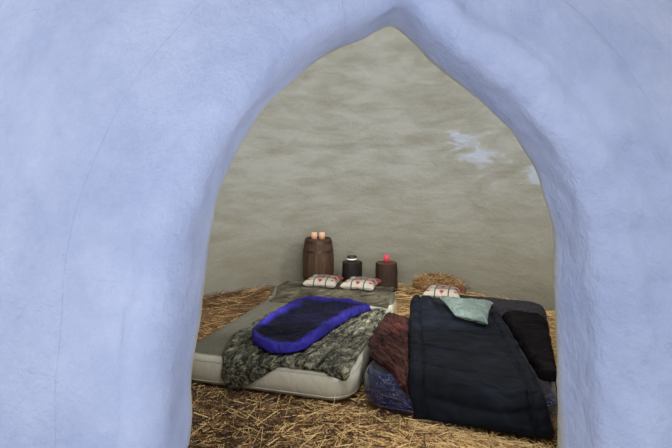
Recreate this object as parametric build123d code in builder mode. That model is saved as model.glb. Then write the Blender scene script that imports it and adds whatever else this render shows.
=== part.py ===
"""Igloo: a hollow snow dome with a pointed doorway, a strawed floor and two made-up beds."""
from build123d import *
import os
from math import atan2, cos, degrees, radians, sin, sqrt, tan

os.makedirs("parts", exist_ok=True)

# Snow shell: an upright skirt under a half ball, inside and outside, so the wall thins upwards
inner_radius = 2700
wall_thickness = 350
inner_springing = 1000
springing_step = 50
bed_joint_gap = 0.6

# Courses: elevation angle of each bed joint above the springing, from the lowest up
first_course_angle = 3
second_course_angle = 25
third_course_angle = 47
fourth_course_angle = 78
first_block_angle = 60
third_block_angle = 72
fourth_block_angle = 120
fourth_start_angle = 30
vent_diameter = 120

# Doorway: a pointed arch cut straight through the wall, its tip pinched up right of the middle
doorway_azimuth = -90
left_foot_x = -700
right_foot_x = 560
jamb_height = 1370
left_spring_x = -565
right_spring_x = 547
left_haunch = (-413, 1842)
left_shoulder = (-100, 2112)
left_ogee = (-20, 2152)
tip = (52, 2194)
right_ogee = (112, 2133)
right_shoulder = (216, 2009)
right_haunch = (439, 1794)

# Doorway surround: even-sided, wider than the doorway, its stones locked by a keystone
surround_half_width = 900
surround_haunch = (670, 2040)
surround_tip_height = 2560
surround_sweep = 40
keystone_half_angle = 13

# Floor
floor_thickness = 60
straw_thickness = 60
straw_margin = 40
floor_clearance = 0.3
heap_length = 760
heap_depth = 380
heap_height = 230
heap_azimuth = 60
heap_wall_clearance = 70

# Beds: one shared corner at the foot, each turned a little to the right of the doorway's line
beds_corner_x = -30
beds_wall_distance = 1600
left_bed_turn = -16
right_bed_turn = -22
bed_spacing = 10
bed_corner_radius = 260
bed_edge_radius = 85
left_bed_width = 1370
left_bed_length = 2100
left_bed_height = 230
bolster_length = 380
left_bolster_height = 90
right_bed_width = 1230
right_bed_length = 2100
right_bed_height = 250
right_bolster_height = 60
seat_clearance = 0.3

# Bedding: thickness of each layer as it lies, and how far it hangs down at the foot
sheet_thickness = 22
sheet_width = 1230
sheet_left = -1270
sheet_flat_length = 180
camouflage_bag_right = -35
camouflage_bag_width = 925
camouflage_sheet_gap = 20
camouflage_bag_thickness = 50
camouflage_flap_width = 450
camouflage_flap_drop = 190
violet_bag_left = -970
violet_foot_width = 560
violet_head_width = 620
violet_foot_slant = 290
violet_head_gap = 20
violet_bag_thickness = 80
bag_foot = 20
quilt_width = 800
quilt_set_in = 370
quilt_thickness = 60
quilt_drop = 190
quilt_turn = 13.5
rust_bag_thickness = 60
rust_bag_head = 1250
rust_bag_corner = 480
rust_bag_foot_width = 120
brown_bag_thickness = 90
brown_bag_foot = 560
soft_clearance = 15
pillow_left = 220
pillow_width = 570
pillow_depth = 770
pillow_tuck = 260
pillow_front_slant = 180
pillow_overlap = 80
pillow_thickness = 100
cushion_size = 400
cushion_thickness = 110
cushion_setback = 65
cushion_places = (-1010, -590)
head_cushion_left = 60
bedding_corner_radius = 50

# Things along the far wall
barrel_x = -390
barrel_wall_distance = 520
barrel_height = 680
barrel_head_radius = 172
barrel_belly_radius = 212
barrel_head_recess = 22
barrel_chime = 20
hoop_width = 32
hoop_thickness = 3
hoop_end_gap = 30
hoop_quarter_gap = 150
dark_stump_x = 65
dark_stump_wall_distance = 510
dark_stump_radius = 130
dark_stump_height = 360
pale_stump_x = 525
pale_stump_wall_distance = 580
pale_stump_radius = 140
pale_stump_height = 360
stump_flare = 1.08
candle_radius = 38
candle_height = 95
candle_recess = 22
candle_glass = 4
candle_spacing = 105
lantern_radius = 65
lantern_height = 75

straw_top = floor_thickness + straw_thickness
outer_radius = inner_radius + wall_thickness
outer_springing = inner_springing - springing_step
wall_reach = outer_radius + wall_thickness
beds_corner_y = beds_wall_distance - inner_radius
barrel_y = inner_radius - barrel_wall_distance
dark_stump_y = inner_radius - dark_stump_wall_distance
pale_stump_y = inner_radius - pale_stump_wall_distance


def save(part, name):
    """Label a finished piece and write it to its own file."""
    part.label = name
    export_step(part, f"parts/{name}.step")


def section_plane(azimuth):
    """Upright plane through the dome's axis: its x runs outwards at the azimuth, its y up."""
    turn = radians(azimuth)
    return Plane(origin=(0, 0, 0), x_dir=(cos(turn), sin(turn), 0), z_dir=(sin(turn), -cos(turn), 0))


def wall_section(low, high):
    """Draw the wall between two elevations; an elevation of None takes it down to the ground."""
    half_gap = bed_joint_gap / 2
    inner_shift = degrees(half_gap / inner_radius)
    outer_shift = degrees(half_gap / outer_radius)
    from_ground = low is None
    inner_low = 0 if from_ground else low + inner_shift
    outer_low = 0 if from_ground else low + outer_shift
    inner_centre = (0, inner_springing)
    outer_centre = (0, outer_springing)
    with BuildLine() as outline:
        inner_arc = CenterArc(inner_centre, inner_radius, inner_low, high - inner_shift - inner_low)
        outer_arc = CenterArc(outer_centre, outer_radius, outer_low, high - outer_shift - outer_low)
        Line(inner_arc @ 1, outer_arc @ 1)
        if from_ground:
            Polyline(inner_arc @ 0, (inner_radius, 0), (outer_radius, 0), outer_arc @ 0)
        else:
            Line(inner_arc @ 0, outer_arc @ 0)
    make_face(outline.edges())


def doorway_outline():
    """Draw the opening: leaning jambs, a round haunch each side and a pinched tip."""
    left_spring = (left_spring_x, jamb_height)
    right_spring = (right_spring_x, jamb_height)
    with BuildLine() as outline:
        Polyline(left_spring, (left_foot_x, 0), (right_foot_x, 0), right_spring)
        ThreePointArc(left_spring, left_haunch, left_shoulder)
        ThreePointArc(left_shoulder, left_ogee, tip)
        ThreePointArc(tip, right_ogee, right_shoulder)
        ThreePointArc(right_shoulder, right_haunch, right_spring)
    make_face(outline.edges())


def surround_outline(inset):
    """Draw the outer edge of the surround: a plain pointed arch, taken in by inset."""
    half_width = surround_half_width - inset
    haunch_x, haunch_height = surround_haunch
    crest = (0, surround_tip_height - inset)
    with BuildLine() as outline:
        Polyline((-half_width, jamb_height), (-half_width, 0), (half_width, 0), (half_width, jamb_height))
        ThreePointArc((-half_width, jamb_height), (inset - haunch_x, haunch_height), crest)
        ThreePointArc((half_width, jamb_height), (haunch_x - inset, haunch_height), crest)
    make_face(outline.edges())


def wall_block(name, low, high, start, end, beside_doorway):
    """One snow block of a course, from azimuth start to end, cut back where the surround stands."""
    with BuildPart() as block:
        with BuildSketch(section_plane(start)):
            wall_section(low, high)
        revolve(axis=Axis.Z, revolution_arc=end - start)
        if beside_doorway:
            with BuildSketch(Plane.XZ):
                surround_outline(0)
            extrude(amount=wall_reach, mode=Mode.SUBTRACT)
    save(block.part, name)


# First course: six long blocks from the ground up, the doorway between the first and the last
for number in range(6):
    start = doorway_azimuth + first_block_angle * number
    wall_block(f"first_course_{number + 1}", None, first_course_angle, start, start + first_block_angle,
               number in (0, 5))

# Second course: five long blocks breaking joint with the first, and a half block each side of the doorway
second_course_ends = (0, 30, 90, 150, 210, 270, 330, 360)
for number, (begin, finish) in enumerate(zip(second_course_ends, second_course_ends[1:])):
    wall_block(f"second_course_{number + 1}", first_course_angle, second_course_angle,
               doorway_azimuth + begin, doorway_azimuth + finish, number in (0, 6))

# Third course: five blocks leaning in over the doorway's head
for number in range(5):
    start = doorway_azimuth + third_block_angle * number
    wall_block(f"third_course_{number + 1}", second_course_angle, third_course_angle, start,
               start + third_block_angle, number in (0, 4))

# Fourth course: three blocks closing in towards the top
for number in range(3):
    start = doorway_azimuth + fourth_start_angle + fourth_block_angle * number
    wall_block(f"fourth_course_{number + 1}", third_course_angle, fourth_course_angle, start,
               start + fourth_block_angle, False)

# Cap: the tapered block that locks the dome, with a breathing hole
cap_shift = degrees(bed_joint_gap / 2 / inner_radius)
with BuildPart() as cap_block:
    with BuildSketch(Plane.XZ):
        with BuildLine():
            inner_cap = CenterArc((0, inner_springing), inner_radius, fourth_course_angle + cap_shift,
                                  90 - fourth_course_angle - cap_shift)
            outer_cap = CenterArc((0, outer_springing), outer_radius, fourth_course_angle + cap_shift,
                                  90 - fourth_course_angle - cap_shift)
            Line(inner_cap @ 0, outer_cap @ 0)
            Line(inner_cap @ 1, outer_cap @ 1)
        make_face()
    revolve(axis=Axis.Z)
    with Locations((0, 0, inner_springing + inner_radius)):
        Cylinder(vent_diameter / 2, 4 * (outer_radius - inner_radius), mode=Mode.SUBTRACT)
save(cap_block.part, "cap_block")

# Doorway surround: five stones of snow that turn the pinched arch through the leaning wall
arch_middle = (0, jamb_height)
zone_top = 2 * surround_tip_height
zone_rise = zone_top - jamb_height
tip_lean = degrees(atan2(tip[0], tip[1] - jamb_height))
key_left = zone_rise * tan(radians(tip_lean - keystone_half_angle))
key_right = zone_rise * tan(radians(tip_lean + keystone_half_angle))
surround_zones = {
    "left_jamb": [(-wall_reach, 0), (0, 0), arch_middle, (-wall_reach, jamb_height)],
    "left_haunch": [arch_middle, (key_left, zone_top), (-wall_reach, zone_top), (-wall_reach, jamb_height)],
    "keystone": [arch_middle, (key_right, zone_top), (key_left, zone_top)],
    "right_haunch": [arch_middle, (wall_reach, jamb_height), (wall_reach, zone_top), (key_right, zone_top)],
    "right_jamb": [(0, 0), (wall_reach, 0), (wall_reach, jamb_height), arch_middle],
}
for stone_name, zone in surround_zones.items():
    with BuildPart() as stone:
        with BuildSketch(section_plane(doorway_azimuth - surround_sweep)):
            wall_section(None, third_course_angle)
        revolve(axis=Axis.Z, revolution_arc=2 * surround_sweep)
        with BuildSketch(Plane.XZ):
            surround_outline(bed_joint_gap)
            Polygon(*zone, align=None, mode=Mode.INTERSECT)
        extrude(amount=wall_reach, mode=Mode.INTERSECT)
        with BuildSketch(Plane.XZ):
            doorway_outline()
        extrude(amount=wall_reach, mode=Mode.SUBTRACT)
    save(stone.part, stone_name)

# Packed-snow floor, with a sill that runs out through the doorway between the jambs
jamb_lean = floor_thickness / jamb_height
sill_left = left_foot_x + jamb_lean * (left_spring_x - left_foot_x) + floor_clearance
sill_right = right_foot_x + jamb_lean * (right_spring_x - right_foot_x) - floor_clearance
with BuildPart() as snow_floor:
    with BuildSketch(Plane.XY):
        Circle(inner_radius - floor_clearance)
        with Locations(((sill_left + sill_right) / 2, -inner_radius)):
            Rectangle(sill_right - sill_left, 2 * (outer_radius - inner_radius))
        Circle(outer_radius, mode=Mode.INTERSECT)
    extrude(amount=floor_thickness)
save(snow_floor.part, "snow_floor")

# Straw strewn over the floor up to the wall
with BuildPart() as straw_layer:
    with BuildSketch(Plane.XY.offset(floor_thickness)):
        Circle(inner_radius - straw_margin)
    extrude(amount=straw_thickness)
save(straw_layer.part, "straw_layer")

# Loose straw heaped against the far wall
heap_turn = radians(heap_azimuth)
heap_distance = inner_radius - heap_wall_clearance - heap_depth / 2
with BuildPart() as straw_heap:
    with BuildSketch(Plane(origin=(heap_distance * cos(heap_turn), heap_distance * sin(heap_turn),
                                   straw_top + seat_clearance),
                           x_dir=(-sin(heap_turn), cos(heap_turn), 0), z_dir=(0, 0, 1))):
        Ellipse(heap_length / 2, heap_depth / 2)
    extrude(amount=heap_height, taper=28)
save(straw_heap.part, "straw_heap")


def bed_plane(height, bed_turn):
    """Level plane at the beds' shared foot corner: x runs across to the right, y towards the head."""
    turn = radians(bed_turn)
    return Plane(origin=(beds_corner_x, beds_corner_y, height), x_dir=(cos(turn), sin(turn), 0),
                 z_dir=(0, 0, 1))


def air_bed(name, bed_turn, left_edge, width, length, height, bolster_height):
    """An inflated bed with round corners and edges, and a raised bolster at the head."""
    with BuildPart() as bed:
        with BuildSketch(bed_plane(straw_top + seat_clearance, bed_turn)):
            with Locations((left_edge + width / 2, length / 2)):
                RectangleRounded(width, length, bed_corner_radius)
        extrude(amount=height)
        fillet(bed.faces().sort_by(Axis.Z)[-1].edges() + bed.faces().sort_by(Axis.Z)[0].edges(),
               bed_edge_radius)
        with BuildSketch(bed_plane(straw_top + seat_clearance + height - bed_edge_radius, bed_turn)):
            with Locations((left_edge + width / 2, length - bed_edge_radius - bolster_length / 2)):
                RectangleRounded(width - 2 * bed_edge_radius, bolster_length, bolster_length / 3)
        extrude(amount=bed_edge_radius + bolster_height)
        fillet(bed.faces().sort_by(Axis.Z)[-1].edges(), bolster_height * 0.6)
    save(bed.part, name)


air_bed("left_air_bed", left_bed_turn, -bed_spacing / 2 - left_bed_width, left_bed_width, left_bed_length,
        left_bed_height, left_bolster_height)
air_bed("right_air_bed", right_bed_turn, bed_spacing / 2, right_bed_width, right_bed_length,
        right_bed_height, right_bolster_height)
left_bed_top = straw_top + seat_clearance + left_bed_height
right_bed_top = straw_top + seat_clearance + right_bed_height
left_bolster_start = left_bed_length - bed_edge_radius - bolster_length
right_bolster_start = right_bed_length - bed_edge_radius - bolster_length


def bedding(bed_turn, corners, base, thickness):
    """A soft layer that lies flat, its corners in plan given across and along its bed."""
    with BuildPart() as layer:
        with BuildSketch(bed_plane(base + seat_clearance, bed_turn)) as plan:
            Polygon(*corners, align=None)
            fillet(plan.vertices(), bedding_corner_radius)
        extrude(amount=thickness)
    return layer.part


def flap(bed_turn, left, right, top, drop, thickness):
    """The end of a layer that hangs down in front of its bed's foot."""
    with BuildPart() as hanging:
        with BuildSketch(bed_plane(top - drop, bed_turn)):
            with Locations(((left + right) / 2, -seat_clearance - thickness / 2)):
                Rectangle(right - left, thickness)
        extrude(amount=drop)
    return hanging.part


# Left bed: a sheet that climbs over the bolster, a camouflage bag along the right edge and a violet bag
# laid on it, turned as the right bed is
riser = left_bolster_start - seat_clearance
crest = left_bolster_height + seat_clearance
sheet_start = riser - sheet_flat_length
sheet_end = left_bolster_start + bolster_length
left_turn = radians(left_bed_turn)
sheet_left_end = bed_plane(left_bed_top + seat_clearance, left_bed_turn).from_local_coords(
    Vector(sheet_left, 0, 0))
sheet_plane = Plane(origin=sheet_left_end, x_dir=(-sin(left_turn), cos(left_turn), 0),
                    z_dir=(cos(left_turn), sin(left_turn), 0))
with BuildPart() as grey_sheet:
    with BuildSketch(sheet_plane):
        with BuildLine():
            Polyline((sheet_start, 0), (riser, 0), (riser, crest), (sheet_end, crest),
                     (sheet_end, crest + sheet_thickness), (riser - sheet_thickness, crest + sheet_thickness),
                     (riser - sheet_thickness, sheet_thickness), (sheet_start, sheet_thickness), close=True)
        make_face()
    extrude(amount=sheet_width)
save(grey_sheet.part, "grey_sheet")
camouflage_left = camouflage_bag_right - camouflage_bag_width
camouflage_front = -seat_clearance - camouflage_bag_thickness
camouflage_head = sheet_start - camouflage_sheet_gap
camouflage_corners = [(camouflage_left, camouflage_front), (camouflage_bag_right, camouflage_front),
                      (camouflage_bag_right, camouflage_head), (camouflage_left, camouflage_head)]
camouflage_top = left_bed_top + seat_clearance + camouflage_bag_thickness
with BuildPart() as camouflage_bag:
    add(bedding(left_bed_turn, camouflage_corners, left_bed_top, camouflage_bag_thickness))
    add(flap(left_bed_turn, camouflage_left + bedding_corner_radius, camouflage_left + camouflage_flap_width,
             camouflage_top, camouflage_flap_drop, camouflage_bag_thickness))
save(camouflage_bag.part, "camouflage_bag")
beds_spread = radians(left_bed_turn - right_bed_turn)
violet_foot = camouflage_front * cos(beds_spread) + camouflage_bag_right * sin(beds_spread) + bag_foot
violet_head = camouflage_head * cos(beds_spread) + violet_bag_left * sin(beds_spread) - violet_head_gap
violet_corners = [(violet_bag_left, violet_foot + violet_foot_slant),
                  (violet_bag_left + violet_foot_width, violet_foot),
                  (violet_bag_left + violet_head_width, violet_head), (violet_bag_left, violet_head)]
save(bedding(right_bed_turn, violet_corners, camouflage_top, violet_bag_thickness), "violet_bag")


def quilt_edge(side, along):
    """How far across the right bed the turned quilt's left (0) or right (1) edge lies at a place along it."""
    lean = tan(radians(quilt_turn))
    return quilt_foot_x + side * quilt_width / cos(radians(quilt_turn)) - lean * along


def camouflage_edge(along):
    """How far across the right bed the camouflage bag's right edge lies at a place along it."""
    return camouflage_bag_right / cos(beds_spread) - tan(beds_spread) * along


# Right bed: a quilt laid askew up to the bolster, a rust bag that bridges the gap from it to the camouflage
# bag, a brown bag right of it, and a large pillow on the quilt that reaches over the bolster
quilt_foot_x = bed_spacing / 2 + quilt_set_in
quilt_front = -seat_clearance - quilt_thickness
quilt_head = right_bolster_start - soft_clearance
quilt_corners = [(quilt_edge(0, quilt_front), quilt_front), (quilt_edge(1, quilt_front), quilt_front),
                 (quilt_edge(1, quilt_head), quilt_head), (quilt_edge(0, quilt_head), quilt_head)]
with BuildPart() as navy_quilt:
    add(bedding(right_bed_turn, quilt_corners, right_bed_top, quilt_thickness))
    add(flap(right_bed_turn, quilt_edge(0, 0) + bedding_corner_radius,
             quilt_edge(1, 0) - bedding_corner_radius, right_bed_top + seat_clearance + quilt_thickness,
             quilt_drop, quilt_thickness))
save(navy_quilt.part, "navy_quilt")
rust_right = [(quilt_edge(0, place) - soft_clearance, place) for place in (bag_foot, rust_bag_head)]
rust_left = [(camouflage_edge(place) + soft_clearance, place) for place in (rust_bag_corner, rust_bag_head)]
rust_corners = [rust_left[0], (rust_right[0][0] - rust_bag_foot_width, bag_foot), rust_right[0],
                rust_right[1], rust_left[1]]
save(bedding(right_bed_turn, rust_corners, right_bed_top, rust_bag_thickness), "rust_bag")
brown_right = bed_spacing / 2 + right_bed_width - 2 * soft_clearance
brown_corners = [(quilt_edge(1, brown_bag_foot) + soft_clearance, brown_bag_foot),
                 (brown_right, brown_bag_foot), (brown_right, quilt_head),
                 (quilt_edge(1, quilt_head) + soft_clearance, quilt_head)]
save(bedding(right_bed_turn, brown_corners, right_bed_top, brown_bag_thickness), "brown_bag")
quilt_top = right_bed_top + seat_clearance + quilt_thickness
pillow_back = right_bolster_start + pillow_overlap
pillow_front = pillow_back - pillow_depth
pillow_corners = [(pillow_left + pillow_tuck, pillow_front + pillow_front_slant),
                  (pillow_left + pillow_width, pillow_front), (pillow_left + pillow_width, pillow_back),
                  (pillow_left, pillow_back)]
save(bedding(right_bed_turn, pillow_corners, quilt_top, pillow_thickness), "aqua_pillow")


def cushion(bed_turn, left, front, base):
    """A square cushion lying flat, its near left corner given across and along its bed."""
    with BuildPart() as pad:
        with BuildSketch(bed_plane(base + seat_clearance, bed_turn)):
            with Locations((left + cushion_size / 2, front + cushion_size / 2)):
                RectangleRounded(cushion_size, cushion_size, bedding_corner_radius)
        extrude(amount=cushion_thickness)
    return pad.part


# Three square cushions: two on the sheet over the left bed's bolster and one behind the pillow on the right
bolster_cushion_base = left_bed_top + seat_clearance + crest + sheet_thickness
cushion_solids = [cushion(left_bed_turn, place, riser + cushion_setback, bolster_cushion_base)
                  for place in cushion_places]
cushion_solids.append(cushion(right_bed_turn, head_cushion_left, pillow_back + soft_clearance,
                              right_bed_top + right_bolster_height))
save(Compound(children=cushion_solids), "cushions")

# Barrel: bowed staves round two sunk heads
barrel_base = straw_top + seat_clearance
bow_radius = ((barrel_height / 2) ** 2 + (barrel_belly_radius - barrel_head_radius) ** 2) / (
    2 * (barrel_belly_radius - barrel_head_radius))
barrel_axis = Axis((barrel_x, barrel_y, 0), (0, 0, 1))
barrel_plane = Plane(origin=(barrel_x, barrel_y, barrel_base), x_dir=(1, 0, 0), z_dir=(0, -1, 0))


def barrel_radius(height):
    """Outer radius of the staves at a height above the barrel's foot."""
    rise = height - barrel_height / 2
    return barrel_belly_radius - bow_radius + sqrt(bow_radius ** 2 - rise ** 2)


head_edge = barrel_head_radius - barrel_chime
with BuildPart() as barrel:
    with BuildSketch(barrel_plane):
        with BuildLine():
            Polyline((barrel_head_radius, 0), (head_edge, 0), (head_edge, barrel_head_recess),
                     (0, barrel_head_recess), (0, barrel_height - barrel_head_recess),
                     (head_edge, barrel_height - barrel_head_recess), (head_edge, barrel_height),
                     (barrel_head_radius, barrel_height))
            ThreePointArc((barrel_head_radius, barrel_height), (barrel_belly_radius, barrel_height / 2),
                          (barrel_head_radius, 0))
        make_face()
    revolve(axis=barrel_axis)
save(barrel.part, "barrel")

# Hoops: two flat bands driven on towards each end of the staves
hoop_heights = [hoop_end_gap, hoop_quarter_gap, barrel_height - hoop_quarter_gap - hoop_width,
                barrel_height - hoop_end_gap - hoop_width]
with BuildPart() as barrel_hoops:
    for low in hoop_heights:
        high = low + hoop_width
        inner_low = barrel_radius(low) + seat_clearance
        inner_high = barrel_radius(high) + seat_clearance
        bulge = max(0, barrel_radius((low + high) / 2) + seat_clearance - (inner_low + inner_high) / 2)
        with BuildSketch(barrel_plane):
            Polygon((inner_low + bulge, low), (inner_low + bulge + hoop_thickness, low),
                    (inner_high + bulge + hoop_thickness, high), (inner_high + bulge, high), align=None)
        revolve(axis=barrel_axis)
save(barrel_hoops.part, "barrel_hoops")


def stump(name, x, y, radius, height):
    """A sawn length of trunk, a little wider at the foot."""
    with BuildPart() as trunk:
        with Locations((x, y, straw_top + seat_clearance)):
            Cone(radius * stump_flare, radius, height, align=(Align.CENTER, Align.CENTER, Align.MIN))
    save(trunk.part, name)


stump("dark_stump", dark_stump_x, dark_stump_y, dark_stump_radius, dark_stump_height)
stump("pale_stump", pale_stump_x, pale_stump_y, pale_stump_radius, pale_stump_height)

# Candles: two glasses on the barrel's sunk head, a red glass and an open lantern bowl on the stumps
barrel_seat = barrel_base + barrel_height - barrel_head_recess
dark_stump_top = straw_top + seat_clearance + dark_stump_height
pale_stump_top = straw_top + seat_clearance + pale_stump_height
candle_places = [(barrel_x - candle_spacing / 2, barrel_y, barrel_seat),
                 (barrel_x + candle_spacing / 2, barrel_y, barrel_seat),
                 (pale_stump_x, pale_stump_y, pale_stump_top)]
with BuildPart() as candles:
    for place in candle_places:
        with Locations(place):
            Cylinder(candle_radius, candle_height, align=(Align.CENTER, Align.CENTER, Align.MIN))
        with Locations((place[0], place[1], place[2] + candle_height)):
            Cylinder(candle_radius - candle_glass, candle_recess, mode=Mode.SUBTRACT,
                     align=(Align.CENTER, Align.CENTER, Align.MAX))
    with Locations((dark_stump_x, dark_stump_y, dark_stump_top)):
        Cylinder(lantern_radius, lantern_height, align=(Align.CENTER, Align.CENTER, Align.MIN))
    with Locations((dark_stump_x, dark_stump_y, dark_stump_top + lantern_height)):
        Cylinder(lantern_radius - candle_glass, lantern_height / 2, mode=Mode.SUBTRACT,
                 align=(Align.CENTER, Align.CENTER, Align.MAX))
save(candles.part, "candles")
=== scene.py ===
"""Snow igloo with a strawed floor and two made-up air beds: its looks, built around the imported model."""

import bpy
import numpy as np
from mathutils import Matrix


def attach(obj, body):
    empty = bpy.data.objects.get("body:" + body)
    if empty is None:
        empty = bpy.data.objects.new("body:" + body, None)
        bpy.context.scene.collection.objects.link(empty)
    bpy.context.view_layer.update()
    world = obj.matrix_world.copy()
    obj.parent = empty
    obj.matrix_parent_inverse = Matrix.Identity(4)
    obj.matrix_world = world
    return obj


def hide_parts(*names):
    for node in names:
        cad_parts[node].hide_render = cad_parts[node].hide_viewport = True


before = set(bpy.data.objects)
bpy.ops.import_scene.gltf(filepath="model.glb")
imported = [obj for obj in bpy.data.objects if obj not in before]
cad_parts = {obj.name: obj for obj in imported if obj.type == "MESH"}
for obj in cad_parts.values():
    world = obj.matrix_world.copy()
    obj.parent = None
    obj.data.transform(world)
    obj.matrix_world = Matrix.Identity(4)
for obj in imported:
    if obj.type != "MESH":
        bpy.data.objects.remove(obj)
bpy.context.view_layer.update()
scene = bpy.context.scene

# Camera: held at eye height just outside the doorway, level, and framed a little downwards by its shift.
camera_data = bpy.data.cameras.new("camera")
camera_data.lens = 25.2
camera_data.sensor_width = 36
camera_data.shift_y = -0.073
camera_data.clip_end = 60
camera = bpy.data.objects.new("camera", camera_data)
camera.location = (-0.15, -4.17, 1.65)
camera.rotation_euler = (np.pi / 2, 0, 0)
scene.collection.objects.link(camera)
scene.camera = camera

# Studio: a pale floor under the ground line, a white surround for the camera only, and soft neutral lamps.
# Four wide lamps stand round the outside, three light the room from within, and three small ones light the
# doorway's jambs, sill and arch.
scene.view_settings.view_transform = "Standard"
sky_strength = 0.36
floor_reach = 30
floor_drop = 0.002


def feed(tree, node, inputs):
    """Give a node its inputs, each as a value or as an output to join."""
    for name, value in inputs.items():
        if isinstance(value, bpy.types.NodeSocket):
            tree.links.new(value, node.inputs[name])
        else:
            node.inputs[name].default_value = value


def put(tree, kind, inputs=None, **settings):
    """Add a shader node with its settings and its inputs."""
    added = tree.nodes.new(kind)
    for name, value in settings.items():
        setattr(added, name, value)
    feed(tree, added, inputs or {})
    return added


def calculate(tree, operation, *values):
    """One sum on up to three numbers or outputs."""
    return put(tree, "ShaderNodeMath", dict(enumerate(values)), operation=operation).outputs[0]


world = bpy.data.worlds.new("studio")
scene.world = world
world.use_nodes = True
tree = world.node_tree
tree.nodes.clear()
rays = put(tree, "ShaderNodeLightPath")
seen = calculate(tree, "MAXIMUM", rays.outputs["Is Camera Ray"], rays.outputs["Is Glossy Ray"])
seen = calculate(tree, "MAXIMUM", seen, rays.outputs["Is Transmission Ray"])
light_sky = put(tree, "ShaderNodeBackground", {"Color": (1, 1, 1, 1), "Strength": sky_strength})
white_sky = put(tree, "ShaderNodeBackground", {"Color": (0.93, 0.94, 0.96, 1), "Strength": 1.0})
sky = put(tree, "ShaderNodeMixShader", {0: seen, 1: light_sky.outputs[0], 2: white_sky.outputs[0]})
put(tree, "ShaderNodeOutputWorld", {"Surface": sky.outputs[0]})

floor_mesh = bpy.data.meshes.new("studio_floor")
floor_mesh.from_pydata([(x * floor_reach, y * floor_reach, -floor_drop)
                        for x, y in ((-1, -1), (1, -1), (1, 1), (-1, 1))], [], [(0, 1, 2, 3)])
studio_floor = bpy.data.objects.new("studio_floor", floor_mesh)
scene.collection.objects.link(studio_floor)
floor_paint = bpy.data.materials.new("studio_floor_paint")
floor_paint.use_nodes = True
feed(floor_paint.node_tree, floor_paint.node_tree.nodes["Principled BSDF"],
     {"Base Color": (0.70, 0.71, 0.73, 1), "Roughness": 0.9})
floor_mesh.materials.append(floor_paint)


def soft_lamp(name, place, turn, size, watts, colour=(1, 1, 1), spread=None):
    """A square area lamp that the camera doesn't see, its beam narrowed to a spread in radians if given."""
    data = bpy.data.lights.new(name, "AREA")
    data.size = size
    data.energy = watts
    data.color = colour
    if spread is not None:
        data.spread = spread
    lamp = bpy.data.objects.new(name, data)
    lamp.location = place
    lamp.rotation_euler = turn
    lamp.visible_camera = False
    scene.collection.objects.link(lamp)


soft_lamp("top_lamp", (-3.0, -8.0, 7.5), (0.80, 0, -0.45), 4.0, 255)
soft_lamp("left_lamp", (-6.0, -5.5, 2.4), (1.395, 0, -1.18), 4.0, 126)
soft_lamp("back_lamp", (4.0, 8.0, 6.5), (-0.85, 0, -0.45), 5.0, 230)
soft_lamp("side_lamp", (8.0, 2.0, 6.0), (0.95, 0, 1.85), 5.0, 230)
soft_lamp("room_lamp", (0, -0.7, 1.3), (np.pi - 1.27, 0, 0), 1.6, 47, colour=(1, 0.995, 0.98))
soft_lamp("bed_lamp", (1.6, -0.6, 2.3), (0.92, 0, 1.09), 0.5, 37, colour=(1, 0.99, 0.965))
soft_lamp("door_lamp", (-0.1, -2.1, 2.0), (0.93, 0, 0), 0.8, 15)
soft_lamp("jamb_lamp", (4.6, -5.6, 1.9), (1.454, 0, 1.10), 1.5, 5.0, spread=0.6)
soft_lamp("sill_lamp", (0.1, -2.5, 0.62), (1.5, 0, 0), 0.5, 2.9)
soft_lamp("arch_lamp", (-0.3, -3.9, 0.2), (2.6, 0, 0), 0.8, 1.9, spread=0.9)

# Snow shell: 21 blocks in four courses under a cap, sawn from packed snow and set with their joints broken,
# chinked with loose snow, smoothed by wind outside and left in rough ledges by the saw inside. Its colour is
# painted light over the snow's own slight blue: blue daylight outside, warm grey lamplight inside, and
# brighter painted spots where daylight comes through thin places.
inner_radius = 2.7
inner_springing = 1.0
outer_radius = 3.05
outer_springing = 0.95
wall_faces = (("out", outer_radius, outer_springing), ("in", inner_radius, inner_springing))
joint_gap = 0.0003
doorway_azimuth = -90
first_course_top = 3
second_course_top = 25
third_course_top = 47
fourth_course_top = 78
first_block_angle = 60
second_course_ends = (0, 30, 90, 150, 210, 270, 330, 360)
third_block_angle = 72
fourth_block_angle = 120
fourth_start_angle = 30
jamb_height = 1.37
surround_half_width = 0.9
surround_haunch = (0.67, 2.04)
surround_tip_height = 2.56
outer_cell = 0.075
height_cell = 0.028
edge_cells = (0.010, 0.026)
wall_layers = 4
groove_depth = 0.0055
groove_width = 0.024
sharp_turn = 50
painted_daylight_springing = 0.97
painted_daylight_start = 2.735
painted_daylight_end = 2.80
painted_daylight_spots = ((1.71, 1.91, 1.86), (1.52, 2.06, 2.06), (2.20, 1.38, 1.70))
lattice_primes = (73856093, 19349663, 83492791)
seed_prime = 2654435761


def value_noise(points, cell, seed):
    """Smooth random heights in -1..1: each corner of a cubic lattice with the given cell size holds a hashed
    number, and a point takes the mean of its eight corners weighted by the fade 3t^2 - 2t^3 on each axis."""
    scaled = points / cell
    corner = np.floor(scaled).astype(np.int64)
    part = scaled - corner
    fade = part * part * (3 - 2 * part)
    total = np.zeros(len(points))
    for step in np.ndindex(2, 2, 2):
        hashed = (corner + step) * lattice_primes
        mixed = hashed[:, 0] ^ hashed[:, 1] ^ hashed[:, 2] ^ seed * seed_prime
        mixed = (mixed ^ (mixed >> 13)) * 1274126177 & 0x7FFFFFFF
        weight = np.prod(np.where(step, fade, 1 - fade), axis=1)
        total += ((mixed ^ (mixed >> 16)) % 65536 / 32767.5 - 1) * weight
    return total


def spread(length, cell):
    """Fractions 0..1 along a length: even cells, with two narrow ones at each end for a crisp edge."""
    edge = np.array((0, *edge_cells)) / length
    count = max(2, int(round((length - 2 * edge_cells[1]) / cell)))
    return np.concatenate((edge[:2], np.linspace(edge[2], 1 - edge[2], count + 1), 1 - edge[1::-1]))


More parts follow.
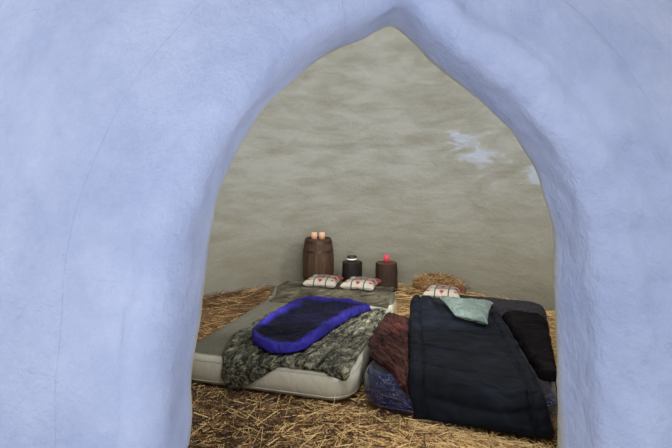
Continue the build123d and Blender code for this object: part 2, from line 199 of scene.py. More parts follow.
def block_skin(first, second, third):
    """The six faces of a block laid out on three lists of fractions: unit parameters and quads that share
    their edge points. The quads of each face run round the axis that it closes."""
    shape = (len(first), len(second), len(third))
    where = np.indices(shape)
    on_skin = np.zeros(shape, bool)
    for axis, size in enumerate(shape):
        on_skin |= (where[axis] == 0) | (where[axis] == size - 1)
    index = np.full(shape, -1)
    index[on_skin] = np.arange(on_skin.sum())
    picked = zip((first, second, third), where)
    params = np.stack([values[place[on_skin]] for values, place in picked], axis=1)
    quads = []
    for axis in range(3):
        for end in (0, -1):
            side = np.take(index, end, axis=axis)
            corners = (side[:-1, :-1], side[1:, :-1], side[1:, 1:], side[:-1, 1:])
            faces = np.stack(corners, axis=-1).reshape(-1, 4)
            quads.append(faces[:, ::-1] if (end == 0) != (axis == 1) else faces)
    return params, np.concatenate(quads)


def mesh_piece(name, points, faces, materials, smooth=True, sharp_over=None):
    """A piece from points and equal-sided faces, turned to face outwards by the sign of its volume. Edges
    that turn by more than sharp_over degrees are shaded sharp."""
    corners = points[faces]
    fan = np.einsum("ij,ij->i", corners[:, 0], np.cross(corners[:, 1], corners[:, 2]))
    if faces.shape[1] == 4:
        fan = fan + np.einsum("ij,ij->i", corners[:, 0], np.cross(corners[:, 2], corners[:, 3]))
    if fan.sum() < 0:
        faces = faces[:, ::-1]
    mesh = bpy.data.meshes.new(name)
    sides = faces.shape[1]
    mesh.vertices.add(len(points))
    mesh.vertices.foreach_set("co", np.ascontiguousarray(points, np.float32).ravel())
    mesh.loops.add(faces.size)
    mesh.loops.foreach_set("vertex_index", np.ascontiguousarray(faces, np.int32).ravel())
    mesh.polygons.add(len(faces))
    mesh.polygons.foreach_set("loop_start", np.arange(0, faces.size, sides, dtype=np.int32))
    mesh.polygons.foreach_set("use_smooth", np.full(len(faces), smooth))
    mesh.update(calc_edges=True)
    if sharp_over is not None:
        mesh.set_sharp_from_angle(angle=np.radians(sharp_over))
    for material in materials:
        mesh.materials.append(material)
    piece = bpy.data.objects.new(name, mesh)
    scene.collection.objects.link(piece)
    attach(piece, "root")
    return piece


def shell_point(azimuth, arc, radius, springing):
    """A point of the dome at an azimuth and an arc angle: below 0 the arc runs straight down the skirt."""
    reach = radius * np.cos(np.maximum(arc, 0))
    height = springing + radius * np.where(arc > 0, np.sin(arc), arc)
    return np.stack((reach * np.cos(azimuth), reach * np.sin(azimuth), height), axis=1)


def outward(points, springing):
    """Unit vectors square to the dome: level on the skirt, away from the ball's centre above it."""
    away = points * (1, 1, 0)
    away[:, 2] = np.maximum(points[:, 2] - springing, 0)
    return away / np.linalg.norm(away, axis=1)[:, None]


def outer_lumps(points):
    """Soft unevenness of the wind-smoothed outside, in metres."""
    return (0.014 * value_noise(points, 0.62, 1) + 0.009 * value_noise(points, 0.21, 2)
            + 0.0035 * value_noise(points, 0.08, 3))


def inner_ledges(points):
    """Rough ledges of the sawn inside, in metres: a ramp that drops back every few centimetres of height,
    shifted and faded by slow noise, with loose lumps over it."""
    around = np.arctan2(points[:, 1], points[:, 0]) * inner_radius
    flat = np.stack((around, points[:, 2], np.zeros(len(points))), axis=1)
    phase = points[:, 2] / 0.11 + 1.5 * value_noise(flat, (0.7, 0.35, 1), 11)
    ramp = phase - np.floor(phase)
    fade = 0.5 + 0.5 * value_noise(flat, (0.45, 0.12, 1), 12)
    return (0.006 * ramp * fade + 0.004 * value_noise(flat, (0.30, 0.075, 1), 13)
            + 0.014 * value_noise(points, 0.42, 14) - 0.006)


def circle_through(one, two, three):
    """Centre and radius of the circle through three points of a plane."""
    one, two, three = (np.array(point, float) for point in (one, two, three))
    rows = 2 * np.array((two - one, three - one))
    centre = np.linalg.solve(rows, (two @ two - one @ one, three @ three - one @ one))
    return centre, np.linalg.norm(one - centre)


surround_centre, surround_radius = circle_through((surround_half_width, jamb_height), surround_haunch,
                                                  (0, surround_tip_height))


def surround_reach(height):
    """Half width of the doorway surround at a height: upright, then an arc that closes at its tip."""
    rise = np.clip(height, jamb_height, surround_tip_height) - surround_centre[1]
    arched = surround_centre[0] + np.sqrt(surround_radius ** 2 - rise ** 2)
    return np.where(height < jamb_height, surround_half_width, np.maximum(arched, 0))


def chinks(points):
    """How much of a joint's depth shows at a place, 0.1..1, because loose snow fills it unevenly."""
    return 0.55 + 0.45 * value_noise(points, 0.3, 5)


def linear(red, green, blue):
    """Linear colour of a paint-chart reading from 0 to 255."""
    chart = np.array((red, green, blue)) / 255
    return (*np.where(chart < 0.04045, chart / 12.92, ((chart + 0.055) / 1.055) ** 2.4), 1)


def start_material(name):
    """A new node material: itself, its tree, its shader and the Object coordinates that its patterns read."""
    material = bpy.data.materials.new(name)
    material.use_nodes = True
    tree = material.node_tree
    place = put(tree, "ShaderNodeTexCoord").outputs["Object"]
    return material, tree, tree.nodes["Principled BSDF"], place


def calculate_vector(tree, operation, *values):
    """One sum on up to three vectors."""
    added = put(tree, "ShaderNodeVectorMath", dict(enumerate(values)), operation=operation)
    return added.outputs["Value" if operation in ("LENGTH", "DISTANCE") else "Vector"]


def axes_of(tree, vector):
    """The three parts of a vector."""
    return put(tree, "ShaderNodeSeparateXYZ", {0: vector}).outputs


def lay(tree, place, scale=(1, 1, 1), turn=0, centre=(0, 0, 0), kind="POINT"):
    """Coordinates scaled and turned about the upright axis, or, as a TEXTURE, measured in a frame so scaled,
    turned and centred."""
    return put(tree, "ShaderNodeMapping", {0: place, 1: centre, 2: (0, 0, turn), 3: scale},
               vector_type=kind).outputs[0]


def noise(tree, place, scale, detail, roughness=0.5, distortion=0.0):
    """Cloudy noise in 0..1."""
    return put(tree, "ShaderNodeTexNoise", {"Vector": place, "Scale": scale, "Detail": detail,
                                            "Roughness": roughness, "Distortion": distortion}).outputs[0]


def remap(tree, value, low, high, to_low=0.0, to_high=1.0, steps="LINEAR"):
    """A value carried from the range low..high to another one and held inside it."""
    return put(tree, "ShaderNodeMapRange", {0: value, 1: low, 2: high, 3: to_low, 4: to_high},
               interpolation_type=steps).outputs[0]


def tones(tree, value, stops, edges="LINEAR"):
    """The colour that a value picks from stops of a position and a colour."""
    added = put(tree, "ShaderNodeValToRGB", {0: value})
    added.color_ramp.interpolation = edges
    elements = added.color_ramp.elements
    for number, (position, colour) in enumerate(stops):
        stop = elements[number] if number < 2 else elements.new(position)
        stop.position = position
        stop.color = colour
    return added.outputs[0]


def blend(tree, share, first, second):
    """A colour between two by a share."""
    return put(tree, "ShaderNodeMix", {0: share, 6: first, 7: second}, data_type="RGBA").outputs[2]


def emboss(tree, height, distance, strength, under=None):
    """A surface direction raised by a height, over the one under it if given."""
    inputs = {"Height": height, "Distance": distance, "Strength": strength}
    if under is not None:
        inputs["Normal"] = under
    return put(tree, "ShaderNodeBump", inputs).outputs[0]


def snow_material():
    """Packed snow, streaked along its ledges inside. Its colour is painted light over the snow's own slight
    blue:
    blue daylight outside and duller warm grey lamplight inside, told apart by the distance from the dome's
    axis and springing, with painted spots of daylight and painted warm candlelight low on the inner wall."""
    material, tree, shader, place = start_material("packed_snow")
    axes = axes_of(tree, place)
    rise = calculate(tree, "MAXIMUM", calculate(tree, "SUBTRACT", axes[2], painted_daylight_springing), 0.0)
    radial = put(tree, "ShaderNodeCombineXYZ", {0: axes[0], 1: axes[1], 2: rise}).outputs[0]
    distance = calculate_vector(tree, "LENGTH", radial)
    # Painted light: the same snow is painted blue outside, as by daylight over its own slight blue, and warm
    # grey inside, as by lamplight.
    outside = remap(tree, distance, painted_daylight_start, painted_daylight_end, steps="SMOOTHSTEP")
    drift = noise(tree, place, 2.6, 7.0, 0.72)
    own_blue_and_painted_daylight = tones(tree, drift, ((0.35, linear(160, 174, 213)), (0.68, linear(182, 194, 228))))
    streak = noise(tree, lay(tree, place, (1.9, 1.9, 6.0)), 1.0, 6.0, 0.62, 0.4)
    inner_grey_and_painted_lamplight = tones(tree, streak, ((0.34, linear(158, 157, 146)), (0.62, linear(182, 184, 178))))
    # Painted daylight: brighter bluish spots in the inner snow's colour where daylight comes through thin
    # places.
    daylit = 0.0
    for thin_place in painted_daylight_spots:
        away = calculate_vector(tree, "DISTANCE", place, thin_place)
        ragged = calculate(tree, "MULTIPLY_ADD", streak, -1.8, away)
        spot = remap(tree, ragged, -0.72, -1.0, 0.0, 0.75)
        daylit = calculate(tree, "MAXIMUM", spot, daylit)
    inside = blend(tree, daylit, inner_grey_and_painted_lamplight, linear(200, 212, 236))
    # Painted warm candlelight: the inner snow's colour turns yellower towards the floor.
    inside = blend(tree, remap(tree, axes[2], 0.3, 1.8, 0.6, 0.0), inside, linear(150, 144, 120))
    grain = noise(tree, place, 150.0, 3.0, 0.7)
    pits = noise(tree, place, 22.0, 4.0, 0.65)
    lumpy = emboss(tree, pits, 0.03, 0.45, emboss(tree, grain, 0.004, 0.5))
    ledges = calculate(tree, "MULTIPLY", streak, calculate(tree, "SUBTRACT", 1.0, outside))
    feed(tree, shader, {"Base Color": blend(tree, outside, inside, own_blue_and_painted_daylight),
                        "Normal": emboss(tree, ledges, 0.05, 0.25, lumpy),
                        "Roughness": remap(tree, pits, 0.3, 0.7, 0.5, 0.78), "Specular IOR Level": 0.35})
    return material


packed_snow = snow_material()


def wall_block(name, low, high, start, end, edge):
    """A closed block of the shell. Fractions run along its azimuth, up its section and through the wall; edge
    says which end (-1 the start, 1 the end, 0 neither) leans against the doorway surround."""
    low_arc = {side: -spring / radius if low is None else np.radians(low) + joint_gap / radius
               for side, radius, spring in wall_faces}
    high_arc = np.radians(high)
    length = np.radians(end - start) * outer_radius * np.cos(max(0, low_arc["out"]))
    rise = (high_arc - low_arc["out"]) * outer_radius
    params, quads = block_skin(spread(length, outer_cell), spread(rise, height_cell),
                               np.linspace(0, 1, wall_layers))
    along, up, through = params.T
    jointed = 1 - up if low is None else np.minimum(up, 1 - up)
    margin = np.minimum(np.minimum(along, 1 - along) * length, jointed * rise)
    groove = groove_depth * np.exp(-(margin / groove_width) ** 2)
    faces = []
    for side, radius, spring in wall_faces:
        arc = low_arc[side] + up * (high_arc - joint_gap / radius - low_arc[side])
        reach = radius * np.cos(np.maximum(arc, 0))
        height = spring + radius * np.where(arc > 0, np.sin(arc), arc)
        lean = np.arcsin(np.clip(surround_reach(height) / reach, 0, 1))
        first = np.radians(start) + (lean if edge == -1 else 0)
        last = np.radians(end) - (lean if edge == 1 else 0)
        base = shell_point(first + along * (last - first), arc, radius, spring)
        if side == "out":
            shift = outer_lumps(base) - groove * chinks(base)
        else:
            shift = inner_ledges(base) + 0.3 * groove * chinks(base)
        faces.append(base + outward(base, spring) * shift[:, None])
    points = faces[0] + (faces[1] - faces[0]) * through[:, None]
    piece = mesh_piece(name, points, quads, [packed_snow], sharp_over=sharp_turn)
    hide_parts(name)


for number in range(6):
    start = doorway_azimuth + first_block_angle * number
    wall_block(f"first_course_{number + 1}", None, first_course_top, start, start + first_block_angle,
               {0: -1, 5: 1}.get(number, 0))
for number, (begin, finish) in enumerate(zip(second_course_ends, second_course_ends[1:])):
    wall_block(f"second_course_{number + 1}", first_course_top, second_course_top, doorway_azimuth + begin,
               doorway_azimuth + finish, {0: -1, 6: 1}.get(number, 0))
for number in range(5):
    start = doorway_azimuth + third_block_angle * number
    wall_block(f"third_course_{number + 1}", second_course_top, third_course_top, start,
               start + third_block_angle, {0: -1, 4: 1}.get(number, 0))
for number in range(3):
    start = doorway_azimuth + fourth_start_angle + fourth_block_angle * number
    wall_block(f"fourth_course_{number + 1}", third_course_top, fourth_course_top, start,
               start + fourth_block_angle, 0)

# Cap: the last tapered block of snow, let in from above to lock the dome. Its section is swept round the
# upright axis and leaves a breathing hole at the top.
vent_radius = 0.06
cap_spokes = 150
cap_rows = 22


def ring_quads(rows, columns, closed_rows=True):
    """Quads of a grid whose columns close in a ring, and whose rows close too where the profile is a loop."""
    row = np.arange(rows if closed_rows else rows - 1)[:, None]
    column = np.arange(columns)[None, :]
    after_row = (row + 1) % rows
    after_column = (column + 1) % columns
    corners = (row * columns + column, after_row * columns + column,
               after_row * columns + after_column, row * columns + after_column)
    return np.stack(corners, axis=-1).reshape(-1, 4)


low_outer = np.radians(fourth_course_top) + joint_gap / outer_radius
low_inner = np.radians(fourth_course_top) + joint_gap / inner_radius
outer_arcs = np.linspace(low_outer, np.arccos(vent_radius / outer_radius), cap_rows)
inner_arcs = np.linspace(np.arccos(vent_radius / inner_radius), low_inner, cap_rows)
profile_arcs = np.repeat(np.concatenate((outer_arcs, inner_arcs)), cap_spokes)
around = np.tile(np.arange(cap_spokes) * 2 * np.pi / cap_spokes, 2 * cap_rows)
base_out = shell_point(around, profile_arcs, outer_radius, outer_springing)
base_in = shell_point(around, profile_arcs, inner_radius, inner_springing)
seam = np.exp(-((profile_arcs - low_outer) * outer_radius / groove_width) ** 2)
base_out += outward(base_out, outer_springing) * (outer_lumps(base_out) - groove_depth * seam)[:, None]
base_in += outward(base_in, inner_springing) * inner_ledges(base_in)[:, None]
on_top = (np.arange(2 * cap_rows) < cap_rows).repeat(cap_spokes)[:, None]
cap_block = mesh_piece("cap_block_snow", np.where(on_top, base_out, base_in),
                       ring_quads(2 * cap_rows, cap_spokes), [packed_snow], sharp_over=sharp_turn)
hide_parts("cap_block")

# Doorway surround: five stones of the same snow turned through the leaning wall into a pinched pointed arch.
# Their edges are rubbed round by use, with a worn line a hand's width from the opening, and pressed lumps.
left_foot_x = -0.70
right_foot_x = 0.56
left_spring_x = -0.565
right_spring_x = 0.547
left_shoulder = (-0.100, 2.112)
right_shoulder = (0.216, 2.009)
tip = (0.052, 2.194)
opening_arcs = (((left_spring_x, jamb_height), (-0.413, 1.842), left_shoulder),
                (left_shoulder, (-0.020, 2.152), tip),
                (tip, (0.112, 2.133), right_shoulder),
                (right_shoulder, (0.439, 1.794), (right_spring_x, jamb_height)))
keystone_left_ray = 99.4
keystone_right_ray = 73.4
ray_gap = 0.02
surround_clearance = 0.0006
arc_steps = 80
opening_steps = 721
melt_steps = 24
melt_angle = 6
melt_width = 2.0
outer_edge_round = 0.11
inner_edge_round = 0.055
stone_cell = 0.013
stone_width = 0.30
stone_layers = 31
stone_arc_radius = 0.8
sill_height = 0.2
worn_depth = 0.010
worn_distance = 0.125
worn_width = 0.014
pressed_depth = 0.030


def arc_samples(one, middle, last):
    """Points along the arc through three points of a plane, in the order given."""
    centre, radius = circle_through(one, middle, last)
    turns = np.unwrap([np.arctan2(y - centre[1], x - centre[0]) for x, y in (one, middle, last)])
    turn = np.linspace(turns[0], turns[2], arc_steps)
    return centre + radius * np.stack((np.cos(turn), np.sin(turn)), axis=1)


def reach_table(samples):
    """Angle about the middle of the springing line, ascending, and the distance to the samples there."""
    away = samples - (0, jamb_height)
    angle = np.degrees(np.arctan2(away[:, 1], away[:, 0]))
    order = np.argsort(angle)
    return angle[order], np.linalg.norm(away, axis=1)[order]


opening_angles = np.linspace(0, 180, opening_steps)
opening_outline = np.concatenate([arc_samples(*arc) for arc in opening_arcs])
opening_reach = np.interp(opening_angles, *reach_table(opening_outline))
melt = np.exp(-(np.linspace(-melt_angle, melt_angle, 2 * melt_steps + 1) / melt_width) ** 2)
opening_reach = np.convolve(np.pad(opening_reach, melt_steps, mode="edge"), melt / melt.sum(), mode="valid")
opening_table = (opening_angles, opening_reach)
outer_half = arc_samples((surround_half_width, jamb_height), surround_haunch, (0, surround_tip_height))
surround_table = reach_table(np.concatenate((outer_half, outer_half[::-1] * (-1, 1))))


def wall_depth(x, height, radius, springing):
    """How far in front of the dome's middle the wall's face stands at a place of the front view."""
    rise = np.maximum(height - springing, 0)
    return -np.sqrt(radius ** 2 - rise ** 2 - x ** 2)


def surround_stone(name, side, start, end):
    """One stone of the surround. Along it runs height (side -1 or 1) or the angle about the springing line's
    middle (side 0), across it the distance from the opening, and through it the depth of the wall. Corner
    points nearer to an edge than its round are drawn onto a quarter circle."""
    length = abs(end - start) if side else np.radians(abs(end - start)) * stone_arc_radius
    params, quads = block_skin(spread(length, stone_cell), spread(stone_width, stone_cell),
                               np.linspace(0, 1, stone_layers))
    along, across, through = params.T
    stop = start + along * (end - start)
    if side:
        foot, spring = ((right_foot_x, right_spring_x), (left_foot_x, left_spring_x))[side < 0]
        inner = np.abs(foot + (spring - foot) * stop / jamb_height)
        outer = np.full(len(params), surround_half_width)
        run = np.array((side, 0)) * np.ones((len(params), 1))
        root = np.stack((np.zeros(len(params)), stop), axis=1)
    else:
        inner = np.interp(stop, *opening_table)
        outer = np.interp(stop, *surround_table)
        run = np.stack((np.cos(np.radians(stop)), np.sin(np.radians(stop))), axis=1)
        root = np.array((0, jamb_height)) * np.ones((len(params), 1))
    outer = outer - surround_clearance
    flat = root + run * inner[:, None]
    thick = (wall_depth(*flat.T, inner_radius, inner_springing)
             - wall_depth(*flat.T, outer_radius, outer_springing))
    from_opening = across * (outer - inner)
    from_front = through * thick
    for rounding, near_front in ((outer_edge_round, True), (inner_edge_round, False)):
        inward = from_front if near_front else thick - from_front
        away = np.stack((from_opening - rounding, inward - rounding), axis=1)
        pull = np.abs(away).max(axis=1) / np.maximum(np.linalg.norm(away, axis=1), 1e-9)
        rounded = rounding + away * pull[:, None]
        corner = (from_opening < rounding) & (inward < rounding)
        from_opening = np.where(corner, rounded[:, 0], from_opening)
        moved = rounded[:, 1] if near_front else thick - rounded[:, 1]
        from_front = np.where(corner, moved, from_front)
    reveal = np.stack((flat[:, 0], through * thick, flat[:, 1]), axis=1)
    uneven = 0.012 * value_noise(reveal, 0.21, 21) + 0.006 * value_noise(reveal, 0.075, 22)
    from_opening = from_opening + (1 - across) * uneven
    x, height = (root + run * (inner + from_opening)[:, None]).T
    height = np.maximum(height, 0)
    outer_base = np.stack((x, wall_depth(x, height, outer_radius, outer_springing), height), axis=1)
    inner_base = np.stack((x, wall_depth(x, height, inner_radius, inner_springing), height), axis=1)
    from_end = np.minimum(along, 1 - along) * length
    if side:
        from_end = np.where(stop < sill_height, 1, from_end)
    margin = np.minimum(from_end, (1 - across) * (outer - inner))
    seam = groove_depth * np.exp(-(margin / groove_width) ** 2) * chinks(outer_base)
    worn_line = (worn_distance + 0.030 * value_noise(outer_base, 0.26, 6)
                 + 0.006 * value_noise(outer_base, 0.05, 7))
    seam += (worn_depth * np.exp(-((across * (outer - inner) - worn_line) / worn_width) ** 2)
             * np.clip(0.55 + 0.9 * value_noise(outer_base, 0.33, 8), 0, 1))
    pressed = 0.5 * value_noise(outer_base, 0.13, 9) + 0.5 * value_noise(outer_base, 0.065, 10)
    to_the_right = np.clip((x + 0.25) / 0.6, 0.15, 1)
    seam += pressed_depth * pressed * to_the_right * np.clip(across * (1 - across) * 6, 0, 1)
    outer_base += outward(outer_base, outer_springing) * (outer_lumps(outer_base) - seam)[:, None]
    inner_base += outward(inner_base, inner_springing) * inner_ledges(inner_base)[:, None]
    points = outer_base + (inner_base - outer_base) * (from_front / thick)[:, None]
    stone = mesh_piece(name + "_snow", points, quads, [packed_snow], sharp_over=sharp_turn)
    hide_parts(name)


surround_stone("left_jamb", -1, 0.0, jamb_height - joint_gap)
surround_stone("left_haunch", 0, 180.0, keystone_left_ray + ray_gap)
surround_stone("keystone", 0, keystone_left_ray - ray_gap, keystone_right_ray + ray_gap)
surround_stone("right_haunch", 0, keystone_right_ray - ray_gap, 0.0)
surround_stone("right_jamb", 1, jamb_height - joint_gap, 0.0)

# Floor: packed snow with a sill in the doorway, trodden hard and soiled in patches. The CAD floor shows, with
# a material of its own.
trodden, tree, shader, place = start_material("trodden_snow")
soil = tones(tree, noise(tree, place, 3.5, 7.0, 0.65), ((0.38, linear(150, 148, 146)),
                                                        (0.60, linear(196, 204, 220))))
crumbs = noise(tree, place, 26.0, 6.0, 0.7)
feed(tree, shader, {"Base Color": soil, "Normal": emboss(tree, crumbs, 0.03, 0.6), "Roughness": 0.75})
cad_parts["snow_floor"].data.materials.clear()
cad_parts["snow_floor"].data.materials.append(trodden)

# Straw: a mat of cereal straw forked over the whole floor, with loose bent stalks lying on it, closest
# together inside the doorway, and a heap of the same straw by the far wall.
straw_radius = 2.66
straw_low = 0.0603
straw_top = 0.12
straw_clearance = 0.0004
mat_rings = 66
mat_spokes = 300
mat_lump = 0.022
mat_edge = 0.12
foot_corner = np.array((-0.03, -1.10))
left_turn = np.radians(-16)
right_turn = np.radians(-22)
left_bed_width = 1.37
right_bed_width = 1.23
bed_length = 2.10
bed_gap = 0.005
stalk_reach = 2.62
stalk_sets = (("front_straw", 18500, ((-1.25, 1.35), (-2.5, -0.75)), 0.0034),
              ("far_straw", 9000, ((-2.6, 2.6), (-2.6, 2.6)), 0.0032))
heap_azimuth = np.radians(60)
heap_distance = 2.44
heap_half_length = 0.37
heap_half_depth = 0.18
heap_rise = 0.20
heap_rings = 20
heap_spokes = 64
heap_count = 900


def straw_material():
    """Cereal straw: thin streaks laid in three directions between dark brown gaps and golden stalks, each
    stalk tinted by its own attribute. The gaps' dark brown is partly the straw's own darker tone and partly
    painted shade between the stalks."""
    material, tree, shader, place = start_material("straw")
    streaks = 0.0
    for turn in (0.3, 1.4, 2.5):
        fibre = noise(tree, lay(tree, place, (6.0, 95.0, 30.0), turn), 1.0, 3.0, 0.6, 0.2)
        streaks = calculate(tree, "MAXIMUM", streaks, fibre)
    tint_and_painted_shade = put(tree, "ShaderNodeAttribute", attribute_name="tint_and_painted_shade").outputs["Fac"]
    # Partly painted shade: the dark brown end of the ramp fills the gaps between the streaks.
    colour = tones(tree, calculate(tree, "ADD", streaks, tint_and_painted_shade),
                   ((0.52, linear(66, 43, 27)), (0.74, linear(158, 114, 68)), (0.98, linear(246, 212, 150))))
    feed(tree, shader, {"Base Color": colour, "Normal": emboss(tree, streaks, 0.02, 0.6), "Roughness": 0.55})
    return material


straw = straw_material()


def tint_points(piece, values):
    """Store one number a point, which the straw material adds to its streaks."""
    attribute = piece.data.attributes.new("tint_and_painted_shade", "FLOAT", "POINT")
    attribute.data.foreach_set("value", np.ascontiguousarray(values, np.float32))


def under_beds(x, y, margin):
    """Which places of the plan lie under the two beds, taken in by a margin."""
    away = np.stack((x, y), axis=1) - foot_corner
    under = np.zeros(len(x), bool)
    for turn, side, width in ((left_turn, -1, left_bed_width), (right_turn, 1, right_bed_width)):
        across = side * (away @ (np.cos(turn), np.sin(turn))) - bed_gap
        along = away @ (-np.sin(turn), np.cos(turn))
        within_width = (across > margin) & (across < width - margin)
        under |= within_width & (along > margin) & (along < bed_length - margin)
    return under


def capped_rings(rings):
    """Points and triangles of rings (rows, spokes, 3) joined in order, each end closed by a fan round the
    middle of its ring."""
    rows, spokes = rings.shape[:2]
    points = np.concatenate((rings.reshape(-1, 3), rings[:1].mean(axis=1), rings[-1:].mean(axis=1)))
    quads = ring_quads(rows, spokes, closed_rows=False)
    step = np.arange(spokes)
    after = (step + 1) % spokes
    last = (rows - 1) * spokes
    first_fan = np.stack((np.full(spokes, rows * spokes), step, after), axis=1)
    last_fan = np.stack((np.full(spokes, rows * spokes + 1), last + after, last + step), axis=1)
    return points, np.concatenate((quads[:, (0, 1, 2)], quads[:, (0, 2, 3)], first_fan, last_fan))


def disc_fractions(rings, spokes):
    """Share of the radius and turn of each point of a disc, ring by ring outwards, without its middle."""
    fraction = np.linspace(0, 1, rings)[1:].repeat(spokes)
    turn = np.tile(np.arange(spokes) * 2 * np.pi / spokes, rings - 1)
    return fraction, turn


fraction, turn = disc_fractions(mat_rings, mat_spokes)
reach = straw_radius * fraction
flat = np.stack((reach * np.cos(turn), reach * np.sin(turn), 0 * turn), axis=1)
lump = 0.6 * value_noise(flat, 0.22, 31) + 0.4 * value_noise(flat, 0.07, 32)
lump = np.where(under_beds(flat[:, 0], flat[:, 1], 0.05), 0, np.minimum(lump, 0.8))
edge = np.clip(straw_radius * (1 - fraction) / mat_edge, 0, 1)
flat[:, 2] = (straw_low + (straw_top - mat_lump - straw_low) * np.sqrt(1 - (1 - edge) ** 2)
              + mat_lump * lump * edge)
upper = flat.reshape(mat_rings - 1, mat_spokes, 3)
lower = upper[-1:] * (0.999, 0.999, 0) + (0, 0, straw_low - 0.0001)
points, triangles = capped_rings(np.concatenate((upper, lower)))
straw_mat = mesh_piece("straw_mat", points, triangles, [straw])
tint_points(straw_mat, 0.15 + 0.08 * value_noise(points, 0.5, 33))
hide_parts("straw_layer")


def stalks(name, places, heights, lengths, turns, tilts, widths, stalk_tints_and_painted_shade, seed):
    """Bent straws: each is a three-sided prism of two runs, kinked sideways at its middle."""
    count = len(places)
    random = np.random.default_rng(seed)
    along = np.stack((np.cos(turns) * np.cos(tilts), np.sin(turns) * np.cos(tilts), np.sin(tilts)), axis=1)
    side = np.stack((-np.sin(turns), np.cos(turns), np.zeros(count)), axis=1)
    over = np.cross(along, side)
    centre = np.column_stack((places, heights))
    kink = side * (lengths * random.uniform(-0.10, 0.10, count))[:, None]
    half = along * lengths[:, None] / 2
    spine = np.stack((centre - half, centre + kink, centre + half), axis=1)
    corner = np.radians((90, 210, 330))[None, :, None]
    ring = side[:, None, :] * np.cos(corner) + over[:, None, :] * np.sin(corner)
    ring = ring * widths[:, None, None]
    points = (spine[:, :, None, :] + ring[:, None, :, :]).reshape(-1, 3)
    single = []
    for run in (0, 3):
        for edge in range(3):
            low, high = run + edge, run + (edge + 1) % 3
            single += [(low, high, high + 3), (low, high + 3, low + 3)]
    single += [(0, 2, 1), (6, 7, 8)]
    faces = (np.arange(count)[:, None, None] * 9 + np.array(single)[None]).reshape(-1, 3)
    piece = mesh_piece(name, points, faces, [straw], smooth=False)
    tint_points(piece, np.repeat(stalk_tints_and_painted_shade, 9))


random = np.random.default_rng(7)
for name, count, ((left, right), (near, far)), widest in stalk_sets:
    x = random.uniform(left, right, count)
    y = random.uniform(near, far, count)
    length = random.uniform(0.07, 0.32, count)
    tilt = random.normal(0, 0.13, count)
    kept = (x ** 2 + y ** 2 < (stalk_reach - length / 2) ** 2) & ~under_beds(x, y, 0.01)
    x, y, length, tilt = x[kept], y[kept], length[kept], tilt[kept]
    close = under_beds(x, y, -0.12)
    length = np.where(close, np.minimum(length, 0.14), length)
    tilt = np.where(close, 0.3 * tilt, tilt)
    count = len(x)
    height = straw_top - 0.010 + random.uniform(0, 0.022, count) + np.abs(np.sin(tilt)) * length * 0.30
    # Each stalk's tone varies at random, and its tint also falls towards the left as painted shade.
    tint_and_painted_shade = random.normal(0.25, 0.30, count) + 0.20 * np.clip((x + 0.1) / 0.5, -1, 1) - 0.02
    stalks(name, np.column_stack((x, y)), height, length, random.uniform(0, 2 * np.pi, count), tilt,
           random.uniform(0.0013, widest, count), tint_and_painted_shade, 8)

heap_out = np.array((np.cos(heap_azimuth), np.sin(heap_azimuth)))
heap_along = np.array((-np.sin(heap_azimuth), np.cos(heap_azimuth)))


def heap_places(fraction, turn, half_depth):
    """Plan of the heap, an ellipse along the wall: shares of its reach at turns about its middle."""
    return (heap_out * heap_distance + heap_along * (heap_half_length * fraction * np.cos(turn))[:, None]
            + heap_along[::-1] * (1, -1) * (half_depth * fraction * np.sin(turn))[:, None])


def heap_height(fraction):
    """Height of the heap above the mat, a steep-sided crown."""
    return heap_rise * np.sqrt(1 - fraction ** 2) ** 1.2


fraction, turn = disc_fractions(heap_rings, heap_spokes)
surface = np.column_stack((heap_places(fraction, turn, heap_half_depth),
                           straw_top + straw_clearance + heap_height(fraction)))
surface[:, 2] += 0.022 * value_noise(surface, 0.06, 41) * (1 - fraction ** 4)
surface[:, 2] = np.maximum(surface[:, 2], straw_top + straw_clearance)
points, triangles = capped_rings(surface.reshape(heap_rings - 1, heap_spokes, 3))
straw_heap = mesh_piece("straw_heap_mound", points, triangles, [straw])
tint_points(straw_heap, 0.12 + 0.08 * value_noise(points, 0.2, 43))
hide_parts("straw_heap")
out = np.sqrt(random.uniform(0, 1, heap_count)) * 0.85
turn = random.uniform(0, 2 * np.pi, heap_count)
stalks("heap_straw", heap_places(out, turn, 0.16), straw_top + heap_height(out) - 0.004,
       random.uniform(0.08, 0.2, heap_count), random.uniform(0, 2 * np.pi, heap_count),
       random.normal(0, 0.22, heap_count), random.uniform(0.0014, 0.0026, heap_count),
       random.normal(0.24, 0.13, heap_count), 9)

# Air beds: two inflated vinyl beds whose feet share a corner, flocked on top, with piping welded along their
# seams and a built-in bolster that lifts the head end.
left_bed_top = 0.3503
right_bed_top = 0.3703
bed_base = 0.1203
bed_edge = 0.085
bed_corner_round = 0.20
bolster_length = 0.38
bolster_slope = 0.09
left_bolster_rise = 0.090
right_bolster_rise = 0.060
corner_steps = 24
loop_points = 220
flat_rings = 25
weld_spacing = 0.17
weld_radius = 0.038
weld_depth = 0.010
seam_height = 0.045
piping_radius = 0.005


def on_bed(turn, across, along, height):
    """Points given across and along a bed turned about the shared foot corner, and their height."""
    flat = (foot_corner + np.multiply.outer(across, (np.cos(turn), np.sin(turn)))
            + np.multiply.outer(along, (-np.sin(turn), np.cos(turn))))
    return np.concatenate((flat, np.broadcast_to(height, np.shape(across))[..., None]), axis=-1)


def smooth_step(values):
    """0 below 0, 1 above 1, and 3x^2 - 2x^3 between."""
    part = np.clip(values, 0, 1)
    return part * part * (3 - 2 * part)


def bolster_lift(along, length, rise):
    """Height of the built-in bolster above the bed's top at a place along the bed."""
    return rise * smooth_step((along - (length - bed_edge - bolster_length)) / bolster_slope)


